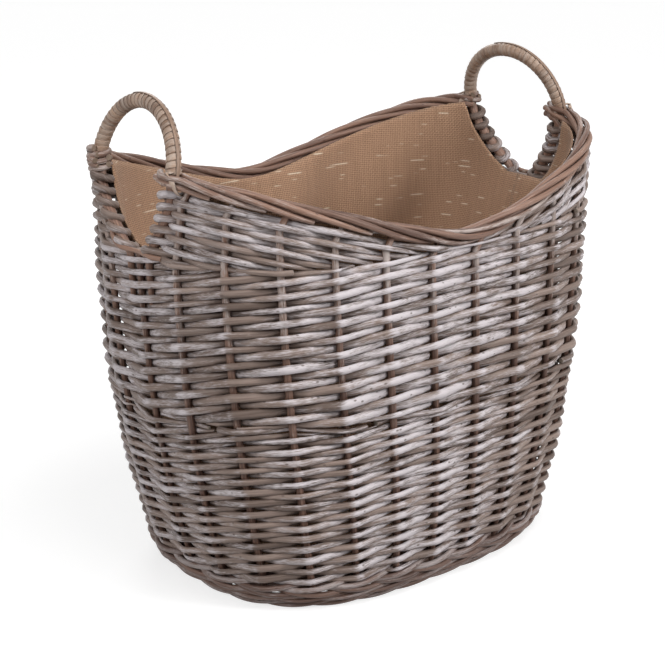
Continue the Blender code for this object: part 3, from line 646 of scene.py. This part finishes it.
def change_line(bays):
    """The uneven line round the wall where the lower weave stops."""
    return band_break + millimetre * np.interp(bays % stakes_round, change_bays, change_heights)


def zigzag(gone):
    """From 1 in front of one post to -1 behind the next: straight between them, with a tight bend at each."""
    away = np.abs(gone - np.round(gone))
    return np.minimum(1.09 * (1 - 2 * away), 1.0)


def stations(bays):
    """Places along a row, in bays: close together at each stake, where it bends."""
    marks = np.arange(int(np.ceil(bays)))[:, None] + np.array([0, 0.045, 0.12, 0.35, 0.5, 0.65, 0.88, 0.955])
    return marks[marks < bays]


def bowed(bays, row, height, end_gap):
    """How far out a row lies, from -1 behind the stakes to 1 in front."""
    end = np.round(bays / (side_stakes + 1)) * (side_stakes + 1)
    gone = np.abs(bays - end)
    wide = np.where(height > gap_from, end_gap, 0.0)
    gone = np.where(gone < 1, np.maximum(gone - wide, 0) / (1 - wide), gone)
    side = np.where((np.round(gone) + row + end) % 2 < 0.5, 1, -1)
    return side * zigzag(gone)


def weave_rows(bundle, low, high, rows, first_row, thick_ends, fill, climbing):
    """Rows of weaving that fill the wall between two lines, each thinning from butt to tip.

    Where the rows climb across a line they start or stop there, with the tip tucked in behind."""
    bays = stations(stakes_round)
    low, high = low + 0 * bays, high + 0 * bays
    lift = climbing * climb(bays)
    thick = np.linspace(*thick_ends, rows)[:, None] * np.ones(len(bays))
    for row in range(rows):
        start = 0.5 * row + 0.137 * (row // 2)
        wave = np.sin(2 * np.pi * (bays / stakes_round + start))
        bumps = chance.normal(0, 0.05, 14)
        bumps[-1] = bumps[0]
        thick[row] *= 1 + 0.13 * wave + np.interp(bays, np.linspace(0, stakes_round, 14), bumps)
    thick *= (high - low + lift.max() - lift.min()) / thick.sum(0)
    middles = low + lift - lift.max() + np.cumsum(thick, 0) - thick / 2
    for row in range(rows):
        number = first_row + row
        below, above = middles[row] - low, high - middles[row]
        inside = np.minimum(below, above) > -0.42 * thick[row]
        if inside.all():
            begin = int(chance.integers(0, stakes_round // 2)) * 2 + (number + 1) % 2
            order = np.roll(np.arange(len(bays)), -begin * 8)
            spans = [order[1:-1]]
        else:
            order = np.roll(np.arange(len(bays)), -int(np.argmin(inside)))
            breaks = np.flatnonzero(np.diff(inside[order].astype(int))) + 1
            pieces = np.split(np.arange(len(bays)), breaks)
            spans = [order[i] for i in pieces if inside[order[i[0]]] and len(i) > 9]
        for span in spans:
            round_bays = bays[span]
            half = (thick[row] / 2)[span]
            squeezed = np.clip((np.minimum(below, above)[span] + half) / 2, 0.36 * half, half)
            height = middles[row][span] + np.where(below < above, 1, -1)[span] * (half - squeezed)
            height = height + waver * np.sin(round_bays * 2.3 + row)
            half = squeezed * (fill[0] + (fill[1] - fill[0]) * row / rows)
            swing = bowed(round_bays, number, height, leg_gap)
            height = height + tuck * half * swing
            reach = np.where(swing > 0, swing, -(np.abs(swing) ** behind)) * (stake_rod + flat * half)
            if not inside.all():
                gone = np.minimum(np.arange(len(span)), np.arange(len(span))[::-1]) / 2
                reach = reach * np.clip(gone, 0, 1) - tucked_end * np.clip(1 - gone, 0, 1)
            line, out = wall(drifted(round_bays / stakes_round, height), height, reach)
            tone = np.clip(chance.uniform(0.05, 0.95) + 0.15 * np.sin(round_bays * 0.5 + row), 0, 1)
            # Painted light and shade: the half of a stroke running one way gets more wash, and the other half
            # less.
            wear_and_lit_side = np.where(np.roll(swing, -1) < swing, 1, -1) * np.interp(round_bays, lit_side_bays, lit_side_shift)
            wash_and_light = np.interp(round_bays, np.linspace(0, stakes_round, 11), chance.uniform(0.24, 0.56, 11))
            # A painted highlight: each rod gets more wash where it bends round the front of a stake.
            wash_and_light = wash_and_light + np.interp(round_bays, wash_and_shade_bays, wash_and_shade_shift) + 0.20 * (swing > 0.92)
            # Less wash low on the wall and more higher up, so the weave is darker towards the bottom.
            wash_and_light = wash_and_light + np.interp(height, [0.05, 0.36], [-0.07, 0.05])
            # So the wash given here holds the rod's own wash together with painted highlights and painted
            # shade.
            wash = wash_and_light + np.convolve(wear_and_lit_side, (0.25, 0.5, 0.25), "same")
            bundle.rod(line, out, flat * half, half, tone, wash, 8)


around = stations(stakes_round)
lower = Bundle()
weave_rows(lower, lower_low, change_line(around), lower_rows, 0, lower_rods, (1.13, 1.08), 0.9)
lower.build("lower_weave", washed_weave, ["lower_weaver_a", "lower_weaver_b"])

upper = Bundle()
upper_low = change_line(around) + change
weave_rows(upper, upper_low, notch_floor, upper_rows, lower_rows + 1, upper_rods, (1.0, 1.08), 1)
bay = 0.0
while bay < stakes_round - 2:
    span = float(chance.integers(3, 6))
    bays = np.arange(bay - 0.35, min(bay + span, stakes_round) - 0.55, 1 / 8)
    share = (bays - bays[0]) / (bays[-1] - bays[0])
    half = np.interp(share, [0, 1], change_rod)
    height = change_line(bays) + change / 2 + np.interp(share, [0, 1], chance.uniform(-0.0012, 0.0012, 2))
    reach = bowed(bays % stakes_round, lower_rows, height, 0.0) * (stake_rod + half)
    line, out = wall(drifted(bays / stakes_round, height), height, reach)
    upper.rod(line, out, half, half * 0.9, chance.uniform(0, 0.6), chance.uniform(0.1, 0.5), 8)
    bay += span
for end in (0, side_stakes + 1):
    for side in (-1, 1):
        bays = side * np.append(stations(3.2), 3.2)
        swing = bowed(np.abs(bays), upper_rows + lower_rows, notch_floor, leg_gap)
        share = drifted((end + bays) / stakes_round, notch_floor)
        line, out = wall(share, notch_floor + 0.0005, swing * (stake_rod + last_rod[1]))
        upper.rod(line, out, *last_rod, 0.75, 0.05, 8)
upper.build("upper_weave", washed_weave, ["upper_weaver_a", "upper_weaver_b"])

# Packed corners: beside each handle the weave is raised with short rods that run along under the
# border, turn back round the handle's leg and run out again, each a little shorter than the last.
row_pitch, packed_rod, under_border, leg_turn, tucked_in = 0.0062, 0.0035, 0.0097, 0.0052, 0.0045


def corner_rods(bundle, end, side):
    """The rods of one corner, each in two rows with a turn round the handle's leg between them."""
    first = {(0, 1): 1, (0, -1): stakes_round - 1, (1, 1): side_stakes + 2, (1, -1): side_stakes}[end, side]
    middle = round(2 * first / stakes_round) / 2
    posts = [lambda height: middle + leg_place(end, side, height) / girth]
    for number in range(side_stakes // 2 + 1):
        posts.append(lambda height, post=first + side * number: post_share(post, height))
    tops = np.array([border_height(post(border_high)) for post in posts]) - under_border
    room = tops - notch_floor
    rows = 2 * round(room[0] / row_pitch / 2)
    pitch = room[0] / rows
    index = np.arange(len(posts))
    fine = np.linspace(0, len(posts) - 1, 400)
    room = np.interp(fine, index, room)

    def run(row):
        """Stations along one row, out to where it meets the level weave and is tucked in behind it."""
        short = room < (row + 0.30) * pitch
        far = max(fine[np.argmax(short)] if short.any() else fine[-1], 1.3)
        at = np.append(stations(far - 0.02), far)
        height = np.interp(at, index, tops) - pitch * (row + 0.5)
        low = np.minimum(at.astype(int), len(posts) - 2)
        near = np.array([posts[i](h) for i, h in zip(low, height)])
        beyond = np.array([posts[i + 1](h) for i, h in zip(low, height)])
        share = near + (beyond - near) * (at - low)
        swing = np.where((np.round(at) + row) % 2 < 0.5, 1, -1) * zigzag(at)
        reach = np.interp(at, [0, 1], [leg_turn, stake_rod]) + flat * packed_rod
        out = np.clip((far - at) / 0.6, 0, 1)
        reach = swing * reach * out - tucked_in * (1 - out)
        return share, height + tuck * packed_rod * swing, reach

    for row in range(0, rows, 2):
        lines = [run(row), run(row + 1)]
        turn = np.linspace(0, np.pi, 8)[1:-1]
        low, high = lines[1][1][0], lines[0][1][0]
        height = high + (low - high) * turn / np.pi
        offset = (leg_turn + flat * packed_rod) * (1 + 0.30 * math.exp(-row / 3))
        share = middle + (leg_place(end, side, height) - side * np.sin(turn) * offset * 1.1) / girth
        reach = np.cos(turn) * offset * (1 if row % 2 == 0 else -1)
        loop = (share, height, reach)
        line, out = wall(*(np.concatenate([a[::-1], b, c]) for a, b, c in zip(lines[0], loop, lines[1])))
        along = np.linspace(0, 1, len(line))
        taper = np.interp(along, [0, 0.25, 0.8, 1], [0.80, 1.04, 1.0, 0.65])
        thick = packed_rod * taper * chance.uniform(0.95, 1.05)
        thick = thick * (1 + 0.24 * np.exp(-(((np.arange(len(line)) - len(lines[0][0]) - 2.5) / 7) ** 2)))
        bundle.rod(line, out, flat * thick, thick, chance.uniform(0.1, 0.8), chance.uniform(0.08, 0.66), 8)


corners = Bundle()
for end in (0, 1):
    for side in (-1, 1):
        corner_rods(corners, end, side)
corners.build(
    "corner_packing",
    washed_weave,
    [f"corner_packing_{a}_{b}" for a in ("back", "front") for b in ("left", "right")],
)

# Notch rods: a thin brown rod bent along the bottom of each notch binds its edge, and the cut end
# of a weaver stands up beside it.
edge_place = np.array([-0.040, -0.031, -0.021, 0.0, 0.022, 0.035, 0.047])
edge_reach, edge_thick = (0.004, 0.0075, 0.0080, 0.0030, 0.0070, 0.0075, 0.003), 0.0027
right_rise = (0.020, 0.010, 0.0045, 0.0035, 0.0045, 0.011, 0.022)
left_rise = (0.022, 0.011, 0.0045, 0.0035, 0.0045, 0.0040, 0.0030)
stub_place, stub_rise = np.array([0.020, 0.030, 0.042, 0.052]), (0.013, 0.0075, 0.004, 0.002)
stub_reach, stub_thick = (-0.003, -0.001, 0.0, 0.004), 0.0030
notch = Bundle()
for middle, place, rise in ((0.0, edge_place, right_rise), (0.5, -edge_place[::-1], left_rise)):
    line, out = wall(middle + place / girth, notch_floor + np.array(rise), edge_reach)
    notch.rod(smooth(line, 6), (0, 0, 1), edge_thick, None, 0.62, 0.35, 9)
    place = stub_place * (1 if middle else -1)
    line, out = wall(middle + place / girth, notch_floor + np.array(stub_rise), stub_reach)
    notch.rod(smooth(line, 4), (0, 0, 1), stub_thick, None, 0.3, 0.55, 9)
notch.build("notch_rods", stake_brown)

# Handles: each is one stout willow rod bent into a hoop. Its legs lean in down the notch and are
# pushed into the weave beside the end stake, so the handle can't pull out.
handle_rise, handle_lean, leg_depth = 0.066, 0.016, 0.05
leg_tip, leg_rod, bow_rod = 0.0028, 0.0044, 0.0058


def leg_line(end, side, height):
    """The middle of a leg at these heights, and the way outward there."""
    return wall(end / 2 + leg_place(end, side, height) / girth, height)


def arch(end, angle):
    """A point of the hoop above the border, which leans in, at an angle from one leg to the other."""
    angle = np.asarray(angle, float)[..., None]
    first, last = (leg_line(end, side, border_high)[0] for side in (-1, 1))
    lean = np.array([handle_lean * (1 if end else -1), 0, handle_rise])
    return (first + last) / 2 + (first - last) / 2 * np.cos(angle) + lean * np.sin(angle)


def hoop(end):
    """The whole centre line of a handle, from the tip of one leg to that of the other."""
    heights = np.linspace(notch_floor - leg_depth, border_high, 15)[:-1]
    first, last = (leg_line(end, side, heights)[0] for side in (-1, 1))
    return np.vstack([first, arch(end, np.linspace(0, np.pi, 41)), last[::-1]])


for end, name in enumerate(("right", "left")):
    line = hoop(end)
    bow = Bundle()
    from_tip = np.minimum(np.arange(len(line)), np.arange(len(line))[::-1])
    radius = np.interp(from_tip, [0, 6, 7], [leg_tip, leg_rod, bow_rod])
    bow.rod(line, (1, 0, 0), radius, None, 0.45, 0.35, 12)
    bow.build(f"bow_{name}", stake_brown, [f"handle_bow_{name}"])

# Leg bindings: at the back leg of each handle the border's last rods are wound round the leg and
# cut off, which hides the ends of the roll.
binding_pitch, binding_reach, binding_rod = 0.0070, 0.0098, (0.0036, 0.0030)
bindings = Bundle()
for end, side, rounds, top in ((1, -1, 3.3, 0.010), (0, 1, 1.4, 0.001)):
    gone = np.arange(int(rounds * 14) + 1) / 14
    height = border_high + top - binding_pitch * gone
    centre, out = leg_line(end, side, height)
    level = unit(out * (1, 1, 0))
    along = np.cross((0.0, 0.0, 1.0), level)
    swing = 2 * np.pi * gone * side + 0.8
    radial = level * np.cos(swing)[:, None] + along * np.sin(swing)[:, None]
    line = centre + radial * binding_reach
    bindings.rod(line, radial, np.linspace(*binding_rod, len(line)), None, 0.30, 0.60, 9)
bindings.build("leg_bindings", stake_brown)

# Wrapping: a flat skein of split cane wound tight round the hoop from border to border, each turn
# lapping the last. A second skein runs up the outside of the hoop, and its ends bind each leg to
# the border with a slanting tie.
skein_width, skein_pitch, skein_lap = 0.0076, 0.0066, 0.0009
wrap_radius, wrap_ends, turn_steps = 0.0066, 0.06, 18
outer_width, outer_lift, outer_ends, outer_reach = 0.0042, 0.0014, 0.03, 0.58
tie_width, tie_lift, tie_place, tie_slant, tie_turn = 0.0068, 0.0008, 0.21, 0.24, 1.9
# The last column of each section point is painted shade, strongest at the edges and underside of the strip.
skein_section = (
    (-1.0, 0.0001, 0.0, 1.0),
    (-0.88, 0.0005, 0.0, 0.15),
    (-0.4, 0.0007, 0.0, 0.0),
    (0.4, 0.0007, 0.0, 0.0),
    (0.88, 0.0005, 0.0, 0.0),
    (1.0, 0.0002, 0.0, 0.6),
    (1.0, -0.0004, 0.001, 1.0),
    (-1.0, -0.0004, 0.001, 1.0),
)


def skein_finish():
    """Split cane: long fibres, stains, pale rubbed places, and painted shade along the edges of the strip,
    where one turn laps the next.
    """
    made, r, shader = new_finish("skein")
    grain = r.attribute("grain", "Vector")
    look = r.add("ShaderNodeSeparateColor", {"Color": r.attribute("rod", "Color")}).outputs
    tone, wear_and_lit_side, lap_shade = look[0], look[1], look[2]
    fibre = r.noise(grain, (30, 1500, 1500), 3, 0.6)
    stain = r.noise(grain, (45, 200, 200), 3, 0.6, 5.0)
    cane = r.blend(r.swing(fibre, 1.2, tone, clamp=True), (0.150, 0.088, 0.058), (0.420, 0.280, 0.198))
    cane = r.blend(r.ramp(r.sum("ADD", stain, wear_and_lit_side), 0.85, 1.25), cane, (0.50, 0.42, 0.36))
    # Painted shade: the cane is darkened towards the strip's edges, where each turn laps the last.
    cane = r.blend(r.sum("MULTIPLY", lap_shade, 0.85), cane, (0.055, 0.033, 0.023))
    r.links.new(cane, shader.inputs["Base Color"])
    r.links.new(r.sum("MULTIPLY_ADD", stain, 0.3, 0.30), shader.inputs["Roughness"])
    r.bump(shader, fibre, 0.5, 0.0003)
    shader.inputs["Specular IOR Level"].default_value = 0.45
    return made


skein = skein_finish()


def strip(bundle, line, across, out, width, tone, wash, lap=0.0):
    """A flat strip along a line, crowned over its width, with one edge lapped over its neighbour.

    Its section goes round by share of the half width, height, depth in the grain and painted shade at the
    lapped edges."""
    half, tone, length = width / 2, np.broadcast_to(tone, len(line)), walk(line)
    share, height = np.array(skein_section).T[:2, :, None]
    rings = []
    for i in range(len(line)):
        place = line[i] + across[i] * half * share + out[i] * (height + lap * (share + 1) / 2)
        grain = [(length[i], half * a, deep) for a, _, deep, _ in skein_section]
        look = [(tone[i], wash, lap_shade, 1) for _, _, _, lap_shade in skein_section]
        rings.append(bundle.ring(place, np.array(grain), np.array(look)))
    order = np.arange(len(skein_section))
    after = np.roll(order, -1)
    for near, far in zip(rings, rings[1:]):
        quads = np.stack([near + order, near + after, far + after, far + order], -1)
        bundle.faces.extend(map(tuple, quads.tolist()))
        bundle.sharp.extend([False] * len(order))
    bundle.faces += [tuple((rings[0] + order[::-1]).tolist()), tuple((rings[-1] + order).tolist())]
    bundle.sharp += [True, True]


for end, name in enumerate(("right", "left")):
    fine = np.linspace(wrap_ends, np.pi - wrap_ends, 2000)
    gone = walk(arch(end, fine))
    loops = int(gone[-1] / skein_pitch)
    turned = np.arange(loops * turn_steps + 1) / turn_steps
    angle = np.interp(np.linspace(0, gone[-1], len(turned)), gone, fine)
    ahead = unit(arch(end, angle + 1e-3) - arch(end, angle - 1e-3))
    side = unit(np.cross(ahead, (1, 0, 0)))
    turn = 2 * np.pi * turned
    radial = np.cross(side, ahead) * np.cos(turn)[:, None] + side * np.sin(turn)[:, None]
    tone = np.interp(turned, np.arange(loops + 1), chance.uniform(0.05, 0.95, loops + 1))
    wrap = Bundle()
    strip(wrap, arch(end, angle) + radial * wrap_radius, ahead, radial, skein_width, tone, 0.42, skein_lap)
    wrap.build(f"wrap_{name}", skein, [f"handle_wrap_{name}"])

    outside = Bundle()
    span = np.linspace(outer_ends, np.pi * outer_reach, 60)
    line = arch(end, np.pi - span if end else span)
    along = unit(np.gradient(line, axis=0))
    upward = unit(np.cross(along, (1, 0, 0)))
    from_middle = line - arch(end, np.pi / 2) + (0, 0, handle_rise)
    upward = upward * np.sign((upward * from_middle).sum(-1))[:, None]
    line = line + upward * (wrap_radius + outer_lift)
    strip(outside, line, np.cross(along, upward), upward, outer_width, 0.35, 0.25)
    for leg in (-1, 1):
        first_post = 1 if leg == 1 - 2 * end else side_stakes + 2
        swing = np.linspace(tie_turn, tie_turn - 2 * np.pi, 40)
        beside = -tie_place if leg == 1 else side_stakes - 1 + tie_place
        bays = beside + leg * tie_slant * (1 - np.cos(swing - tie_turn)) / 2
        line, out = border_line(first_post, bays, swing, roll + stake_rod + tie_lift)
        middle, out = border_line(first_post, bays, swing, 0.0001)
        radial = unit(line - middle)
        ahead = unit(np.gradient(line, axis=0))
        strip(outside, line, np.cross(ahead, radial), radial, tie_width, 0.90, 0.5)
    outside.build(f"ties_{name}", skein)

# Lining: a bag of jute hessian, sewn from a band round the wall and an oval for the bottom. It hangs
# against the weave, tucked in under the border, and is cut down round the notch of each handle.
cloth_inset, cloth_floor, cloth_thick, thread_pitch = 0.0128, 0.0315, 0.0010, 0.0023
under_roll, hem_rise, notch_back = 0.0015, 0.0030, 0.026
folds = ((0.0018, 9, 2.2, 0.0), (0.0008, 23, -4.0, 0.0), (0.0066, 9, 8.0, 0.6))
columns, levels, rings = 312, 64, 14


def cloth_top(share):
    """The cloth's upper edge: up behind the border, and down round each notch."""
    tops = border_height(share) - under_roll
    heights = np.linspace(notch_floor, border_high, 200)
    hem = heights + np.interp(heights - notch_floor, [0, 0.02], [hem_rise, -hem_rise])
    for end in (0, 1, 2):
        for side in (-1, 1):
            offset = (share - end / 2) * girth * side
            edge = leg_place(end % 2, side, heights) * side + (notch_back if end != 1 and side == -1 else 0)
            cut = np.interp(offset, edge, hem)
            tops = np.where((offset >= 0) & (offset < edge[-1]), np.minimum(tops, cut), tops)
    return tops


shares = np.arange(columns) / columns
tops = cloth_top(shares)
points, cloth = [], []
for level in range(levels + 1):
    part = level / levels
    height = cloth_floor + (tops - cloth_floor) * part
    slack = np.sin(np.pi * part**1.8) ** 0.7
    fold = np.zeros(columns)
    for deep, number, slant, begin in folds:
        fold = fold + deep * (1 + np.sin(shares * 2 * np.pi * number + slant * part + begin))
    place, out = wall(shares, height, -cloth_inset - fold * slack)
    points.append(place)
    cloth.append(np.stack([shares * girth, height, np.zeros(columns)], -1))
for ring in range(1, rings):
    part = ring / rings
    place, out = wall(shares, np.full(columns, cloth_floor), -cloth_inset)
    place = place * (1 - part, 1 - part, 1)
    ripple = 0.0012 * (1 + np.sin(shares * 2 * np.pi * 5 + 9 * part))
    place[:, 2] = cloth_floor + ripple * np.sin(np.pi * part)
    points.insert(0, place)
    cloth.insert(0, place * (1, 1, 0) + (3, 3, 0))
rows_of_cloth = len(points)
points = np.vstack(points + [[(0, 0, cloth_floor)]])
cloth = np.vstack(cloth + [[(3, 3, 0)]])
faces = []
for row in range(rows_of_cloth - 1):
    for i in range(columns):
        j = (i + 1) % columns
        faces.append((row * columns + j, row * columns + i, (row + 1) * columns + i, (row + 1) * columns + j))
faces += [((i + 1) % columns, len(points) - 1, i) for i in range(columns)]
mesh = bpy.data.meshes.new("lining")
mesh.from_pydata(points.tolist(), [], faces)
mesh.polygons.foreach_set("use_smooth", [True] * len(faces))
thread = mesh.attributes.new("thread", "FLOAT_VECTOR", "POINT")
thread.data.foreach_set("vector", cloth.astype(np.float32).ravel())


def hessian_finish():
    """Plain-woven jute: threads over and under, painted shade down the sides of each thread and in the holes
    between, and pale slubs along the weft.
    """
    made, r, shader = new_finish("hessian")
    thread = r.attribute("thread", "Vector")
    axes = r.add("ShaderNodeSeparateXYZ", {"Vector": thread}).outputs
    across, upward = (r.sum("MULTIPLY", axis, 1 / thread_pitch) for axis in (axes[0], axes[1]))
    warp, weft = (r.sum("ABSOLUTE", r.sum("SINE", r.sum("MULTIPLY", n, math.pi))) for n in (across, upward))
    column, row = r.sum("FLOOR", across), r.sum("FLOOR", upward)
    over = r.sum("PINGPONG", r.sum("ADD", column, row), 1.0)
    top = r.add("ShaderNodeMix", {0: over, 2: warp, 3: weft}, data_type="FLOAT").outputs[0]
    hole_shade = r.sum("MULTIPLY", *(r.sum("POWER", r.sum("SUBTRACT", 1.0, yarn), 2.0) for yarn in (warp, weft)))

    def uneven(x, y, detail):
        """Noise that differs from thread to thread."""
        place = r.add("ShaderNodeCombineXYZ", {0: x, 1: y}).outputs[0]
        return r.add("ShaderNodeTexNoise", {"Vector": place, "Scale": 1.0, "Detail": detail}).outputs["Fac"]

    slub = uneven(r.sum("MULTIPLY", axes[0], 30.0), r.sum("MULTIPLY", row, 7.31), 1.0)
    slub = r.sum("MULTIPLY", r.ramp(slub, 0.66, 0.72), weft)
    yarn = uneven(r.sum("MULTIPLY", column, 5.17), r.sum("MULTIPLY", axes[1], 12.0), 2.0)
    cloud = r.noise(thread, (9, 9, 9), 3, 0.6)
    # Each thread is painted lighter along its crown and darker where it dips under its neighbour: painted
    # shade.
    share = r.sum("MULTIPLY_ADD", top, 0.66, r.sum("MULTIPLY", cloud, 0.16))
    share = r.sum("MULTIPLY_ADD", yarn, 0.36, share, clamp=True)
    jute = r.blend(share, (0.142, 0.078, 0.048), (0.505, 0.307, 0.194))
    # The holes between the threads are painted near black: painted shade.
    jute = r.blend(r.sum("MULTIPLY", hole_shade, 0.95), jute, (0.060, 0.033, 0.020))
    jute = r.blend(r.sum("MULTIPLY", slub, 0.85), jute, (0.76, 0.62, 0.47))
    r.links.new(jute, shader.inputs["Base Color"])
    r.bump(shader, top, 0.8, 0.0006)
    shader.inputs["Roughness"].default_value = 0.92
    shader.inputs["Specular IOR Level"].default_value = 0.2
    shader.inputs["Sheen Weight"].default_value = 0.15
    return made


mesh.materials.append(hessian_finish())
mesh.update()
lining = bpy.data.objects.new("lining", mesh)
bpy.context.scene.collection.objects.link(lining)
thicken = lining.modifiers.new("cloth", "SOLIDIFY")
thicken.thickness = cloth_thick
thicken.offset = 0
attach(lining, "root")
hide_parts("hessian_lining")

# Floor, lamps and camera: a plain pale floor that stays white but keeps the shade at the foot, five
# soft lamps round the basket, and the camera a little above it, looking at its left front.
floor_finish, r, shader = new_finish("pale_floor")
shader.inputs["Base Color"].default_value = (0.42, 0.42, 0.42, 1)
shader.inputs["Roughness"].default_value = 0.9
shader.inputs["Emission Color"].default_value = (1, 1, 1, 1)
place = r.add("ShaderNodeTexCoord").outputs["Object"]
away = r.add("ShaderNodeVectorMath", {0: place}, operation="LENGTH").outputs["Value"]
glow = r.add("ShaderNodeMapRange", {0: away, 1: 0.40, 2: 1.40, 3: 0.70, 4: 0.88}).outputs[0]
r.links.new(r.sum("MULTIPLY", r.direct(), glow), shader.inputs["Emission Strength"])
bpy.ops.mesh.primitive_plane_add(size=12)
floor = bpy.context.object
floor.name = "floor"
floor.data.materials.append(floor_finish)

world = bpy.data.worlds.new("pale_room")
world.use_nodes = True
bpy.context.scene.world = world
r = Recipe(world.node_tree)
sky = r.nodes["Background"]
sky.inputs["Color"].default_value = (1, 1, 1, 1)
r.links.new(r.sum("MULTIPLY_ADD", r.direct(), 0.92, 0.08), sky.inputs["Strength"])


middle_height = 0.22


def put(name, data, azimuth, lift, distance):
    """Puts a lamp or the camera this far round, up and away, facing the middle of the basket."""
    turn, up = math.radians(azimuth), math.radians(lift)
    away = np.array([math.sin(turn) * math.cos(up), -math.cos(turn) * math.cos(up), math.sin(up)])
    made = bpy.data.objects.new(name, data)
    made.location = away * distance + (0, 0, middle_height)
    made.rotation_euler = (math.pi / 2 - up, 0, turn)
    bpy.context.scene.collection.objects.link(made)
    return made


def soft_lamp(name, azimuth, lift, distance, size, power):
    lamp = bpy.data.lights.new(name, "AREA")
    lamp.shape, lamp.size, lamp.energy = "DISK", size, power
    put(name, lamp, azimuth, lift, distance)


soft_lamp("key", 24, 26, 2.4, 0.7, 31)
soft_lamp("left", -86, 26, 2.5, 0.9, 23)
soft_lamp("front", -30, 34, 2.6, 1.4, 7)
soft_lamp("top", -10, 66, 2.3, 1.1, 22)
soft_lamp("back", 150, 34, 2.5, 1.2, 16)

photo_side, focal_pixels, middle_x, middle_y, sensor = 665, 1762.25, 349.142, 351.651, 36
camera = put("camera", bpy.data.cameras.new("camera"), -40.566, 18.394, 2.008)
camera.data.sensor_width = sensor
camera.data.lens = focal_pixels * sensor / photo_side
camera.data.shift_x = (photo_side / 2 - middle_x) / photo_side
camera.data.shift_y = (middle_y - photo_side / 2) / photo_side
bpy.context.scene.camera = camera
bpy.context.scene.view_settings.view_transform = "Standard"
